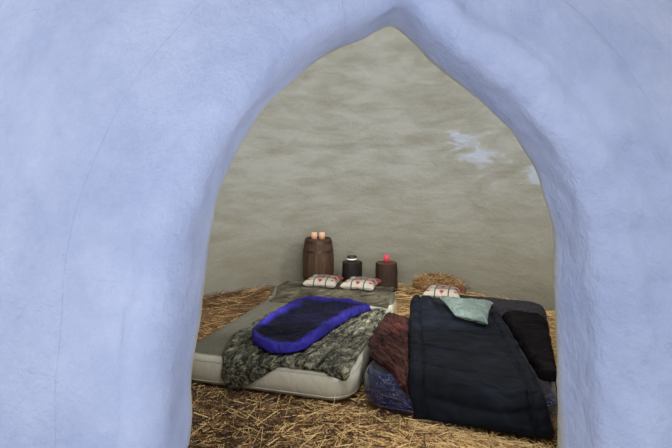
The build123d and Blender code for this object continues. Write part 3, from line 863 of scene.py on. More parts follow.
def rounded_loop(width, length, corner, count):
    """Points and outward directions evenly spaced round a rectangle with round corners, from its middle."""
    quarters = np.arange(4) * np.pi / 2
    turn = np.concatenate([np.linspace(start, start + np.pi / 2, corner_steps) for start in quarters])
    side = np.repeat(((1, 1), (-1, 1), (-1, -1), (1, -1)), corner_steps, axis=0)
    path = side * (width / 2 - corner, length / 2 - corner)
    path = path + corner * np.stack((np.cos(turn), np.sin(turn)), axis=1)
    path = np.concatenate((path, path[:1]))
    turn = np.append(turn, 2 * np.pi)
    run = np.concatenate(((0,), np.cumsum(np.linalg.norm(np.diff(path, axis=0), axis=1))))
    stops = np.arange(count) * run[-1] / count
    turn = np.interp(stops, run, turn)
    points = np.stack((np.interp(stops, run, path[:, 0]), np.interp(stops, run, path[:, 1])), axis=1)
    return points, np.stack((np.cos(turn), np.sin(turn)), axis=1)


def facing_up(tree, low, high):
    """How far a surface faces upwards: the upright part of its direction carried from low..high to 0..1."""
    facing = axes_of(tree, put(tree, "ShaderNodeNewGeometry").outputs["Normal"])
    return remap(tree, facing[2], low, high)


def weigh(tree, share, first, second):
    """A number between two by a share."""
    return put(tree, "ShaderNodeMix", {0: share, 2: first, 3: second}, data_type="FLOAT").outputs[0]


def vinyl(name, top, top_colour, side_colour, crease_scale, crease_depth):
    """Vinyl film, glossy and creased on the sides, with a dull velvety flock on top."""
    material, tree, shader, place = start_material(name)
    over_edge = remap(tree, axes_of(tree, place)[2], top, top + 0.004)
    flocked = calculate(tree, "MAXIMUM", facing_up(tree, 0.78, 0.92), over_edge)
    speck = noise(tree, place, 60.0, 4.0, 0.7)
    lift = weigh(tree, flocked, 1.0, remap(tree, speck, 0.35, 0.7, 0.8, 1.25))
    base = blend(tree, flocked, side_colour, top_colour)
    crease = noise(tree, lay(tree, place, crease_scale), 1.0, 3.0, distortion=0.8)
    feed(tree, shader, {"Base Color": calculate_vector(tree, "MULTIPLY", base, lift),
                        "Normal": emboss(tree, speck, 0.002, 0.25, emboss(tree, crease, crease_depth, 1.0)),
                        "Roughness": remap(tree, flocked, 0.0, 1.0, 0.22, 0.95),
                        "Coat Weight": remap(tree, flocked, 0.0, 1.0, 1.0, 0.0),
                        "Coat IOR": 1.6, "Coat Roughness": 0.06, "Specular IOR Level": 0.45})
    return material


def air_bed(name, node, turn, left, width, length, top, rise, material):
    """An inflated bed: its side is a half ellipse swung round the plan's loop, and its top closes inwards
    from the loop, dimpled by the round welds that hold it flat, and lifts at the head by the bolster."""
    loop, away = rounded_loop(width, length, bed_corner_round, loop_points)
    middle = np.array((left + width / 2, length / 2))
    half = (top - bed_base) / 2
    swing = np.radians(np.concatenate(((-90, -84), np.linspace(-75, 75, 15), (84, 90))))
    side_offset = bed_edge * (1 - np.cos(swing))
    side_height = bed_base + half + half * np.sin(swing)
    inward = np.linspace(1, 0, flat_rings + 2)[1:-1]
    rim = loop - away * bed_edge
    side = loop[None] - away[None] * side_offset[:, None, None]
    plan = np.concatenate((rim[None] * inward[::-1, None, None], side, rim[None] * inward[:, None, None]))
    height = np.concatenate((np.full(flat_rings, bed_base), side_height, np.full(flat_rings, top)))
    height = height[:, None] * np.ones(loop_points)
    plan = plan + middle
    spot = (plan - middle) / weld_spacing
    dimple = np.exp(-((spot - np.round(spot)) ** 2).sum(axis=-1) * (weld_spacing / weld_radius) ** 2)
    on_top = (np.arange(len(height)) >= flat_rings + len(swing) - 1)[:, None]
    height = height - weld_depth * np.where(on_top, dimple, 0)
    above_middle = np.clip((height - bed_base - half) / half, 0, 1)
    height = height + bolster_lift(plan[..., 1], length, rise) * above_middle
    crease = value_noise(on_bed(turn, plan[..., 0], plan[..., 1], height).reshape(-1, 3), 0.11, 51)
    side_only = np.clip(1 - np.abs(height - bed_base - half) / half, 0, 1)
    dent = 0.004 * (1 + crease.reshape(height.shape)) * side_only
    plan = plan - away[None] * dent[..., None]
    points, triangles = capped_rings(on_bed(turn, plan[..., 0], plan[..., 1], height))
    bed = mesh_piece(name, points, triangles, [material])
    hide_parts(node)
    bead = np.arange(8) * np.pi / 4
    for seam, level in (("lower", bed_base + seam_height), ("upper", top - seam_height)):
        lean = np.arcsin((level - bed_base - half) / half)
        track = loop + middle - away * (bed_edge * (1 - np.cos(lean)) + 0.002)
        around = track[:, None] + away[:, None] * (piping_radius * np.cos(bead))[None, :, None]
        beads = level + piping_radius * np.sin(bead)[None, :] * np.ones((loop_points, 1))
        ring = on_bed(turn, around[..., 0], around[..., 1], beads).reshape(-1, 3)
        piping = mesh_piece(f"{name}_{seam}_piping", ring, ring_quads(loop_points, len(bead)), [material])


# The grey bed's side is far paler than its flocked top: partly the bed's own two tones, partly painted light
# on the side, as if lit from the doorway.
grey_vinyl = vinyl("grey_vinyl", left_bed_top, linear(108, 105, 92), linear(216, 213, 197),
                   (9.0, 9.0, 4.0), 0.015)
navy_vinyl = vinyl("navy_vinyl", right_bed_top, linear(34, 31, 38), linear(34, 43, 88),
                   (12.0, 12.0, 22.0), 0.075)
air_bed("left_bed", "left_air_bed", left_turn, -left_bed_width - bed_gap, left_bed_width, bed_length,
        left_bed_top, left_bolster_rise, grey_vinyl)
air_bed("right_bed", "right_air_bed", right_turn, bed_gap, right_bed_width, bed_length, right_bed_top,
        right_bolster_rise, navy_vinyl)


# Bedding on the left bed: a creased cotton sheet over the bolster, a quilted camouflage sleeping bag whose
# near left corner hangs over the foot, and a violet sleeping bag thrown open on it, dark in its middle,
# partly its lining and partly painted shade in its hollow.
def over_foot(turn, across, along, lift, top):
    """Points at a lift above the bed's top, where a negative place along the bed wraps round its foot: first
    a quarter circle of the edge's radius, then straight down."""
    past = np.maximum(bed_edge - along, 0)
    bend = np.minimum(past / bed_edge, np.pi / 2)
    drop = np.maximum(past - bed_edge * np.pi / 2, 0)
    reach = bed_edge + lift
    return on_bed(turn, across, np.where(past > 0, bed_edge - reach * np.sin(bend), along),
                  np.where(past > 0, top - bed_edge + reach * np.cos(bend) - drop, top + lift))


def four_corners(near_left, near_right, far_right, far_left):
    """Outline of a straight-sided patch: its place across and along for fractions s to the right, t away."""
    def outline(s, t):
        """Straight between the corners: first along the near and far edges by s, then between them by t."""
        near = np.multiply.outer(1 - s, near_left) + np.multiply.outer(s, near_right)
        far = np.multiply.outer(1 - s, far_left) + np.multiply.outer(s, far_right)
        return near * (1 - t)[:, None] + far * t[:, None]
    return outline


def creases(across, along, size, seed, turn=0.0, stretch=1.0):
    """Sharp-crested folds in 0..1: one minus the size of a slow noise whose place is bent by a slower one.
    The folds are drawn out by stretch along the bed, or aside from it by turn."""
    aside = across * np.cos(turn) + along * np.sin(turn)
    onward = (along * np.cos(turn) - across * np.sin(turn)) / stretch
    flat = np.stack((aside, onward, 0 * across), axis=1)
    drift = (value_noise(flat, 2 * size, seed), value_noise(flat, 2 * size, seed + 1), 0 * across)
    bent = flat + 0.5 * size * np.stack(drift, axis=1)
    return 1 - np.abs(value_noise(bent, (size, size * 0.6, 1), seed + 2))


def layer(turn, outline, wide, long, cell, rim, thickness, relief, top, corner_round=0.05, edge=0.06):
    """A closed padded layer over a patch of the bed: the under side lies on the bed, the upper one stands
    above it by the rim plus a puff that rises as a quarter circle from the edges. relief adds the item's own
    sway, filling and folds from its two fractions and its places across and along."""
    params, quads = block_skin(spread(wide, cell), spread(long, cell), np.array((0.0, 1.0)))
    s, t, upper = params.T
    margin_s = np.minimum(s, 1 - s) * wide
    margin_t = np.minimum(t, 1 - t) * long
    away = np.stack((margin_s, margin_t), axis=1) - corner_round
    square = np.abs(away).max(axis=1)
    rounded = corner_round + away * (square / np.maximum(np.linalg.norm(away, axis=1), 1e-9))[:, None]
    in_corner = (margin_s < corner_round) & (margin_t < corner_round)
    s = s + np.where(in_corner, rounded[:, 0] - margin_s, 0) * np.sign(0.5 - s) / wide
    t = t + np.where(in_corner, rounded[:, 1] - margin_t, 0) * np.sign(0.5 - t) / long
    plan = outline(s, t)
    near_edge = np.clip(np.minimum(margin_s, margin_t) / edge, 0, 1)
    puff = np.sqrt(1 - (1 - near_edge) ** 2)
    sway, swell = relief(s, t, plan[:, 0], plan[:, 1])
    plan = plan + sway
    lift = 0.0015 + upper * (rim + (thickness - rim) * puff * swell)
    return over_foot(turn, plan[:, 0], plan[:, 1], lift, top), quads, (s, t, np.minimum(margin_s, margin_t))


def cloth(name, colours, roughness, crease_size, crease_turn=0.0, blotch_scale=5.0, edges="LINEAR",
          rim_colour=None, painted_fold_contrast=1.25, gloss=0.2, relief=0.03):
    """Woven or coated cloth: dye tones mottled by noise, with a fine weave and creases of a given size along
    and across their turn. Painted light and shade: the creases' crests are painted lighter and their hollows
    darker by the painted_fold_contrast. Where a rim colour is given, it takes over by the piece's own rim
    attribute."""
    material, tree, shader, place = start_material(name)
    colour = tones(tree, noise(tree, place, blotch_scale, 2.0, distortion=0.5), colours, edges)
    if rim_colour is not None:
        rim = put(tree, "ShaderNodeAttribute", attribute_name="rim").outputs["Fac"]
        colour = blend(tree, rim, colour, rim_colour)
    laid = lay(tree, place, (*crease_size, min(crease_size)), crease_turn, kind="TEXTURE")
    crumple = noise(tree, laid, 1.0, 2.0, 0.45, 1.2)
    # Painted light and shade: crease crests lighter, hollows darker.
    painted_fold_shade = remap(tree, crumple, 0.36, 0.64, 1 / painted_fold_contrast, painted_fold_contrast)
    thread = noise(tree, place, 420.0, 2.0)
    feed(tree, shader, {"Base Color": calculate_vector(tree, "MULTIPLY", colour, painted_fold_shade),
                        "Normal": emboss(tree, thread, 0.0015, 0.35, emboss(tree, crumple, relief, 1.0)),
                        "Roughness": roughness, "Specular IOR Level": gloss})
    return material


def bedding_piece(name, made, material, node, rim=None):
    """A piece of bedding that stands for its CAD node. rim gives each point's share of the rim colour."""
    points, quads, _ = made
    piece = mesh_piece(name, points, quads, [material])
    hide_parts(node)
    if rim is not None:
        attribute = piece.data.attributes.new("rim", "FLOAT", "POINT")
        attribute.data.foreach_set("value", rim.astype(np.float32))
    return piece


grey_cotton = cloth("grey_cotton", ((0.35, linear(64, 60, 49)), (0.65, linear(92, 86, 71))), 0.85,
                    (0.30, 0.06), left_turn + 0.35, rim_colour=linear(168, 166, 154), painted_fold_contrast=1.5,
                    relief=0.06)


def sheet_relief(s, t, across, along):
    """Long sharp creases of the loose sheet that run slantwise over the bolster."""
    ridge = creases(across, along, 0.055, 61, 1.15, 3.5)
    slow = creases(across, along, 0.16, 64, 1.35, 2.0)
    sway = np.stack((0.012 * (slow - 0.5), 0.012 * (ridge - 0.5)), axis=1)
    return sway, 0.1 + 0.8 * ridge ** 2 + 0.8 * slow ** 3


sheet_outline = four_corners((-1.27, 1.455), (-0.045, 1.455), (-0.045, 2.01), (-1.27, 2.01))
points, quads, fractions = layer(left_turn, sheet_outline, 1.225, 0.555, 0.014, 0.003, 0.016,
                                 sheet_relief, left_bed_top)
across = (points[:, :2] - foot_corner) @ (np.cos(left_turn), np.sin(left_turn))
along = (points[:, :2] - foot_corner) @ (-np.sin(left_turn), np.cos(left_turn))
points[:, 2] += bolster_lift(along, bed_length, left_bolster_rise + 0.002)
turned_hem = smooth_step((1.53 - along) / 0.006) * smooth_step((across + 0.62) / 0.02)
sheet = bedding_piece("creased_sheet", (points, quads, fractions), grey_cotton,
                      "grey_sheet", turned_hem)

camouflage_tones = ((0.0, linear(52, 52, 45)), (0.40, linear(86, 86, 74)), (0.47, linear(66, 66, 57)),
                    (0.54, linear(98, 96, 81)), (0.62, linear(114, 110, 93)))
camouflage_nylon = cloth("camouflage_nylon", camouflage_tones, 0.55, (0.042, 0.20), left_turn - 0.25,
                         blotch_scale=16.0, edges="CONSTANT", painted_fold_contrast=2.4, relief=0.07)


def camouflage_outline(s, t):
    """Straight sides and head; the near edge dips over the bed's foot in a hanging corner at the left."""
    near = np.interp(s, (0, 0.06, 0.22, 0.46, 0.8, 1), (-0.12, -0.175, -0.13, 0.02, 0.015, -0.03))
    along = near + t * (1.432 - near)
    left = np.interp(along, (0, 0.4, 1.0, 1.4), (-0.965, -1.11, -1.08, -0.98))
    return np.stack((left + s * (-0.04 - left), along), axis=1)


def camouflage_relief(s, t, across, along):
    """Cross channels every 11 cm, loosely filled, with slack folds over them."""
    ridge = creases(across, along, 0.14, 71)
    channel = np.abs(np.sin(np.pi * (along + 0.03 * ridge) / 0.11)) ** 0.6
    slack = creases(across, along, 0.20, 74, 0.3, 2.0)
    small = creases(across, along, 0.045, 77, -0.25, 3.5)
    return (np.stack((0.012 * (ridge - 0.5), 0.01 * (ridge - 0.5)), axis=1),
            (0.12 + 0.22 * channel) * (0.4 + 0.6 * ridge ** 2) + 0.40 * slack ** 3 + 0.45 * small ** 2)


bedding_piece("camouflage_sleeping_bag",
              layer(left_turn, camouflage_outline, 0.93, 1.5, 0.012, 0.010, 0.048, camouflage_relief,
                    left_bed_top),
              camouflage_nylon, "camouflage_bag")

# Partly painted shade: the dark tones fill the open bag's hollow middle, partly its lining; the rim colour is
# its lighter outer shell.
violet_nylon = cloth("violet_nylon", ((0.36, linear(8, 8, 24)), (0.64, linear(14, 13, 42))), 0.6,
                     (0.10, 0.30), left_turn + 0.4, rim_colour=linear(50, 44, 146), painted_fold_contrast=1.15,
                     gloss=0.12, relief=0.025)


def violet_outline(s, t):
    """A leaf shape: round at its near end, wide at the left, and drawn out to a point at the far right."""
    near = np.interp(s, (0, 0.12, 0.3, 0.6, 0.85, 1), (0.36, 0.22, 0.13, 0.065, 0.08, 0.16))
    far = np.interp(s, (0, 0.10, 0.3, 0.6, 1), (1.22, 1.36, 1.425, 1.40, 1.30))
    along = near + t * (far - near)
    left = np.interp(along, (0.1, 0.35, 0.7, 1.3, 1.45), (-0.88, -0.93, -0.95, -0.92, -0.87))
    right = np.interp(along, (0, 0.25, 0.5, 0.85, 1.15, 1.32), (-0.44, -0.41, -0.37, -0.31, -0.23, -0.12))
    return np.stack((left + s * (right - left), along), axis=1)


def violet_relief(s, t, across, along):
    """A hollow along the middle between puffy borders, with long folds that run out from it."""
    ridge = creases(across, along, 0.20, 81)
    small = creases(across, along, 0.075, 84)
    border = np.exp(-(np.minimum(np.minimum(s, 1 - s) * 0.6, np.minimum(t, 1 - t) * 1.3) / 0.09) ** 2)
    return (np.stack((0.025 * (ridge - 0.5), 0.025 * (ridge - 0.5)), axis=1),
            0.25 + 0.50 * border + 0.22 * ridge ** 4 + 0.12 * small ** 3)


made = layer(left_turn, violet_outline, 0.63, 1.25, 0.012, 0.012, 0.074, violet_relief,
             left_bed_top + 0.0500, 0.05, 0.05)
s, t, margin = made[2]
uneven = 0.085 + 0.045 * value_noise(made[0], 0.16, 86)
bedding_piece("violet_sleeping_bag", made, violet_nylon, "violet_bag",
              smooth_step(1.4 - margin / uneven) * (1 - 0.6 * smooth_step((t + 0.4 * s - 0.55) / 0.3)))

# Bedding on the right bed: a rust-coloured sleeping bag by the middle, a navy quilt laid askew with its end
# hanging over the foot, a brown bag pushed to the right, and a pale pillow.
rust_nylon = cloth("rust_nylon", ((0.35, linear(40, 19, 17)), (0.65, linear(64, 31, 27))), 0.45,
                   (0.30, 0.030), right_turn - 0.85, painted_fold_contrast=2.3, gloss=0.2, relief=0.05)


def rust_outline(s, t):
    """A bag drawn to a point that droops over the foot beside the quilt, wide where it bridges the beds."""
    along = -0.065 + 0.05 * (1 - s) + t * 1.31
    left = np.interp(along, (-0.02, 0.27, 0.50, 1.25), (0.30, 0.03, -0.068, -0.150))
    right = 0.358 - 0.240 * along
    return np.stack((left + s * (right - left), along), axis=1)


def rust_relief(s, t, across, along):
    """Sharp folds that fan out from the bag's foot."""
    around = np.arctan2(along + 0.30, 0.50 - across)
    run = np.hypot(along + 0.30, 0.50 - across)
    fan = 1 - np.abs(value_noise(np.stack((around, 0.22 * run, 0 * run), axis=1), 0.085, 91))
    ridge = creases(across, along, 0.12, 93)
    sway = np.stack((0.008 * (ridge - 0.5), 0.012 * (ridge - 0.5)), axis=1)
    return sway, 0.20 + 0.55 * fan ** 3 + 0.3 * ridge ** 4


bedding_piece("rust_sleeping_bag",
              layer(right_turn, rust_outline, 0.25, 1.31, 0.011, 0.010, 0.058, rust_relief, right_bed_top,
                    0.03),
              rust_nylon, "rust_bag")

navy_nylon = cloth("navy_nylon", ((0.35, linear(13, 17, 24)), (0.65, linear(23, 27, 37))), 0.75,
                   (0.20, 0.14), right_turn, painted_fold_contrast=1.3, gloss=0.12)
quilt_seams = np.array((-0.19, 0.0, 0.22, 0.55, 0.96))


def quilt_relief(s, t, across, along):
    """Cross seams bowed towards the foot, a seam along each side a hand's width in, slack folds, and a fold
    of the head end lying doubled at the left."""
    ridge = creases(across, along, 0.22, 101)
    bowed = along + 0.05 * (1 - (2 * s - 1) ** 2) + 0.012 * ridge
    seam = np.exp(-((bowed[:, None] - quilt_seams) / 0.012) ** 2).sum(axis=1)
    side = np.exp(-((np.minimum(s, 1 - s) * 0.8 - 0.09) / 0.011) ** 2)
    doubled = 1.3 * smooth_step((along - 1.40) / 0.07) * smooth_step((0.34 - s) / 0.12) * (0.7 + 0.3 * ridge)
    return (np.stack((0.008 * (ridge - 0.5), 0.008 * (ridge - 0.5)), axis=1),
            (1 - 0.65 * np.clip(seam + side, 0, 1)) * (0.68 + 0.30 * ridge ** 2) + doubled)


def quilt_outline(s, t):
    """Straight sides askew to the bed, a straight hem, and a far end whose left corner is pushed back."""
    near = -0.19 + 0.03 * s
    far = np.interp(s, (0, 0.12, 0.3, 0.4, 1), (1.70, 1.72, 1.68, 1.62, 1.62))
    along = near + t * (far - near)
    left = 0.390 - 0.402 * np.clip((along + 0.16) / 1.78, 0, 1)
    return np.stack((left + s * (0.800 + 0.026 * t), along), axis=1)


bedding_piece("quilted_cover",
              layer(right_turn, quilt_outline, 0.80, 1.78, 0.013, 0.008, 0.056, quilt_relief, right_bed_top,
                    0.03),
              navy_nylon, "navy_quilt")

brown_nylon = cloth("brown_nylon", ((0.35, linear(9, 7, 9)), (0.65, linear(18, 13, 16))), 0.7,
                    (0.15, 0.08), right_turn, painted_fold_contrast=1.4, gloss=0.06)


def brown_relief(s, t, across, along):
    """Folds across a half-rolled bag."""
    ridge = creases(across, along, 0.12, 111)
    sway = np.stack((0.01 * (ridge - 0.5), 0.02 * (ridge - 0.5)), axis=1)
    return sway, 0.55 + 0.08 * np.sin(along * 34) + 0.3 * ridge


brown_outline = four_corners((1.120, 0.30), (1.222, 0.30), (1.210, 1.62), (0.828, 1.62))
bedding_piece("brown_sleeping_bag",
              layer(right_turn, brown_outline, 0.24, 1.18, 0.013, 0.012, 0.088, brown_relief, right_bed_top),
              brown_nylon, "brown_bag")


# Pillow and cushions: cotton covers filled with wadding, blown up by a short cloth simulation that leaves
# the corners sharp and the sides drawn in. The cushions are printed with plain patchwork squares.
def points_of(mesh):
    """A mesh's points as rows of x, y and z."""
    points = np.zeros(len(mesh.vertices) * 3, np.float32)
    mesh.vertices.foreach_get("co", points)
    return points.reshape(-1, 3)


def plump(name, corners, thickness, reach, voxel):
    """A cushion lying flat over four corners given about the origin: a pinched block, remeshed, swelled by
    air pressure as cloth, each point held within reach of its start."""
    stops = np.linspace(0, 1, 33)
    params, quads = block_skin(stops, stops, np.linspace(0, 1, 4))
    s, t, upper = (2 * params - 1).T
    drawn_s = (1 + s * (1 - 0.06 * (1 - t ** 2))) / 2
    drawn_t = (1 + t * (1 - 0.06 * (1 - s ** 2))) / 2
    plan = four_corners(*corners)(drawn_s, drawn_t)
    height = upper * (0.004 + (thickness / 2 - 0.004) * ((1 - s ** 2) * (1 - t ** 2)) ** 0.45 * 0.8)
    pad = mesh_piece(name, np.column_stack((plan, height)), quads, [])
    remesh = pad.modifiers.new("remesh", "REMESH")
    remesh.mode = "VOXEL"
    remesh.voxel_size = voxel
    graph = bpy.context.evaluated_depsgraph_get()
    start_mesh = bpy.data.meshes.new_from_object(pad.evaluated_get(graph))
    start = points_of(start_mesh)
    pad.modifiers.clear()
    old_mesh = pad.data
    pad.data = start_mesh
    bpy.data.meshes.remove(old_mesh)
    swell = pad.modifiers.new("swell", "CLOTH")
    swell.settings.quality = 5
    swell.settings.use_pressure = True
    swell.settings.uniform_pressure_force = 4
    swell.settings.effector_weights.gravity = 0
    swell.settings.tension_stiffness = 20
    swell.settings.bending_stiffness = 0.4
    for step in range(1, 21):
        scene.frame_set(step)
    graph = bpy.context.evaluated_depsgraph_get()
    final_mesh = bpy.data.meshes.new_from_object(pad.evaluated_get(graph))
    shift = points_of(final_mesh) - start
    far = np.linalg.norm(shift, axis=1)[:, None]
    shift *= np.minimum(1, reach / np.maximum(far, 1e-9))
    final_mesh.vertices.foreach_set("co", (start + shift).ravel())
    pad.modifiers.clear()
    pad.data = final_mesh
    pad.data.polygons.foreach_set("use_smooth", np.ones(len(final_mesh.polygons), bool))
    scene.frame_set(1)
    return pad


def set_down(pad, bed_turn, across, along, base, turn, thickness):
    """Turn a swelled pad to its place on a bed, flatten what would sink below its seat, and put the result
    into its mesh."""
    points = points_of(pad.data).astype(float)
    points[:, 2] *= thickness / (points[:, 2].max() - points[:, 2].min())
    sag = points[:, 2].min() * 0.55
    points[:, 2] = np.where(points[:, 2] < sag, sag + (points[:, 2] - sag) * 0.15, points[:, 2])
    wrinkle = creases(points[:, 0], points[:, 1], 0.09, 141)
    points[:, 2] += np.where(points[:, 2] > 0, 0.007 * (wrinkle ** 3 - 0.5), 0)
    points[:, 2] += base - points[:, 2].min()
    x = points[:, 0] * np.cos(turn) - points[:, 1] * np.sin(turn) + across
    y = points[:, 0] * np.sin(turn) + points[:, 1] * np.cos(turn) + along
    pad.data.vertices.foreach_set("co", on_bed(bed_turn, x, y, points[:, 2]).astype(np.float32).ravel())
    pad.data.update()


aqua_cotton = cloth("aqua_cotton", ((0.35, linear(106, 121, 115)), (0.65, linear(126, 141, 134))), 0.85,
                    (0.10, 0.16), right_turn, painted_fold_contrast=1.12, relief=0.04)
pillow_corners = np.array(((0.465, 1.17), (0.77, 1.01), (0.775, 1.72), (0.235, 1.71)))
pillow_middle = pillow_corners.mean(axis=0)
pillow = plump("pale_pillow", pillow_corners - pillow_middle, 0.09, 0.018, 0.008)
set_down(pillow, right_turn, *pillow_middle, right_bed_top + 0.0600, 0, 0.105)
pillow.data.materials.append(aqua_cotton)
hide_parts("aqua_pillow")


def patchwork_material(name, bed_turn, across, along, turn):
    """Cotton printed with framed 13 cm squares, mostly off-white, each with a diamond of its own size and
    tint."""
    material, tree, shader, place = start_material(name)
    centre = on_bed(bed_turn, np.array(across), np.array(along), 0.0)
    laid = lay(tree, place, turn=bed_turn + turn, centre=centre, kind="TEXTURE")
    tiles = calculate_vector(tree, "MULTIPLY_ADD", laid, (7.6, 7.6, 0), (0.5, 0.5, 0))
    cell = calculate_vector(tree, "FLOOR", tiles)
    within = calculate_vector(tree, "FRACTION", tiles)
    from_middle = calculate_vector(tree, "SUBTRACT", within, (0.5, 0.5, 0))
    pick = put(tree, "ShaderNodeTexWhiteNoise", {"Vector": cell}).outputs["Value"]
    ground = tones(tree, pick, ((0.0, linear(166, 158, 144)), (0.46, linear(142, 112, 104)),
                                (0.66, linear(132, 48, 50)), (0.78, linear(112, 104, 96))), "CONSTANT")
    ink = blend(tree, calculate(tree, "LESS_THAN", pick, 0.3), linear(64, 56, 54), linear(150, 40, 48))
    axes = axes_of(tree, calculate_vector(tree, "ABSOLUTE", from_middle))
    frame_line = calculate(tree, "GREATER_THAN", calculate(tree, "MAXIMUM", axes[0], axes[1]), 0.45)
    reach = calculate(tree, "MULTIPLY_ADD", pick, 0.12, 0.16)
    diamond = calculate(tree, "LESS_THAN", calculate(tree, "ADD", axes[0], axes[1]), reach)
    filled = blend(tree, diamond, ground, ink)
    thread = noise(tree, place, 420.0, 2.0)
    crumple = emboss(tree, noise(tree, place, 16.0, 4.0, distortion=1.0), 0.015, 0.7)
    feed(tree, shader, {"Base Color": blend(tree, frame_line, filled, linear(72, 66, 62)),
                        "Normal": emboss(tree, thread, 0.0015, 0.4, crumple), "Roughness": 0.8})
    return material


cushion_corners = np.array(((-1, -1), (1, -1), (1, 1), (-1, 1))) * 0.197
cushion_places = ((left_turn, -0.81, 1.8997, left_bed_top + 0.1129, 0.03),
                  (left_turn, -0.39, 1.8997, left_bed_top + 0.1129, -0.04),
                  (right_turn, 0.26, 1.93, right_bed_top + 0.0603, 0.05))
for number, (bed_turn, across, along, base, turn) in enumerate(cushion_places):
    cushion = plump(f"printed_cushion_{number + 1}", cushion_corners, 0.085, 0.018, 0.007)
    set_down(cushion, bed_turn, across, along, base, turn, 0.108)
    print_name = f"patchwork_{number + 1}"
    cushion.data.materials.append(patchwork_material(print_name, bed_turn, across, along, turn))
    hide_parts("cushions")

# Barrel: an old oak cask standing on the straw as a side table, its bowed staves held by four driven iron
# hoops, its head sunk below the chime.
barrel_place = np.array((-0.39, 2.18))
barrel_base = 0.1203
barrel_height = 0.68
barrel_head_radius = 0.172
barrel_belly_radius = 0.212
chime_width = 0.020
head_recess = 0.022
stave_count = 24
stave_joint_depth = 0.0035
stave_joint_start = 0.80


def wood(name, dark, light, stretch, ring_centre=None):
    """Weathered wood: grain streaks stretched along the piece, or rings round a centre for a sawn end."""
    material, tree, shader, place = start_material(name)
    grain = noise(tree, lay(tree, place, stretch), 1.0, 6.0, 0.65, 0.6)
    if ring_centre is None:
        colour = tones(tree, grain, ((0.3, dark), (0.7, light)))
    else:
        moved = calculate_vector(tree, "SUBTRACT", place, (*ring_centre, 0))
        level = calculate_vector(tree, "MULTIPLY", moved, (1, 1, 0))
        rings = put(tree, "ShaderNodeTexWave", {"Vector": level, "Scale": 28.0, "Distortion": 2.5,
                                                "Detail": 3.0, "Detail Scale": 1.5},
                    wave_type="RINGS", rings_direction="Z")
        on_end = facing_up(tree, 0.7, 0.9)
        grain = weigh(tree, on_end, grain, rings.outputs["Fac"])
        shade = remap(tree, grain, 0.2, 0.8, 0.45, 1.15)
        colour = calculate_vector(tree, "MULTIPLY", blend(tree, on_end, dark, light), shade)
    feed(tree, shader, {"Base Color": colour, "Normal": emboss(tree, grain, 0.006, 0.6), "Roughness": 0.72})
    return material


def turned(name, place, base, radii, heights, spokes, ripple, materials):
    """A turned piece: rings of the given radii and heights round an upright axis, each moved outwards by
    ripple(turn, row)."""
    turn = np.arange(spokes) * 2 * np.pi / spokes
    reach = np.array(radii)[:, None] + ripple(turn[None, :], np.arange(len(radii))[:, None])
    rings = np.stack((place[0] + reach * np.cos(turn), place[1] + reach * np.sin(turn),
                      base + np.array(heights)[:, None] * np.ones(spokes)), axis=-1)
    points, triangles = capped_rings(rings)
    piece = mesh_piece(name, points, triangles, materials)
    return piece


barrel_oak = wood("barrel_oak", linear(46, 31, 21), linear(98, 70, 45), (34.0, 34.0, 3.0))
bow_rise = barrel_belly_radius - barrel_head_radius
bow_radius = ((barrel_height / 2) ** 2 + bow_rise ** 2) / (2 * bow_rise)
side_heights = np.linspace(0, barrel_height, 31)
side_bow = np.sqrt(bow_radius ** 2 - (side_heights - barrel_height / 2) ** 2)
side_radii = barrel_belly_radius - bow_radius + side_bow
head = barrel_head_radius - chime_width
end_radii = np.array((0.05, 0.10, head - 0.001, head, head + 0.001))
end_depths = np.array((head_recess, head_recess, head_recess, head_recess - 0.001, 0.0))
barrel_radii = np.concatenate((end_radii, side_radii, end_radii[::-1]))
barrel_heights = np.concatenate((end_depths, side_heights, barrel_height - end_depths[::-1]))


def stave_ripple(turn, row):
    """A narrow joint between neighbouring staves, on the outer rows only."""
    joint = np.abs(((turn * stave_count / (2 * np.pi)) % 1) - 0.5) * 2
    outer = (row >= len(end_depths)) & (row < len(end_depths) + len(side_heights))
    open_part = np.clip((joint - stave_joint_start) / (1 - stave_joint_start), 0, 1)
    return np.where(outer, -stave_joint_depth * open_part, 0)


barrel = turned("oak_barrel", barrel_place, barrel_base, barrel_radii, barrel_heights, stave_count * 6,
                stave_ripple, [barrel_oak])
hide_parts("barrel")

hoop_iron, tree, shader, place = start_material("hoop_iron")
rust = noise(tree, place, 28.0, 5.0, 0.7)
feed(tree, shader, {"Base Color": tones(tree, rust, ((0.4, linear(58, 54, 52)), (0.7, linear(104, 70, 48)))),
                    "Normal": emboss(tree, rust, 0.002, 0.5), "Metallic": 0.7, "Roughness": 0.55})
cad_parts["barrel_hoops"].data.materials.clear()
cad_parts["barrel_hoops"].data.materials.append(hoop_iron)

# Stumps: two sawn lengths of trunk with their bark on, standing on end as low tables.
stump_base = 0.1203
stump_height = 0.36
stump_rows = 30
dark_stump_place = (0.065, 2.19)
pale_stump_place = (0.525, 2.12)


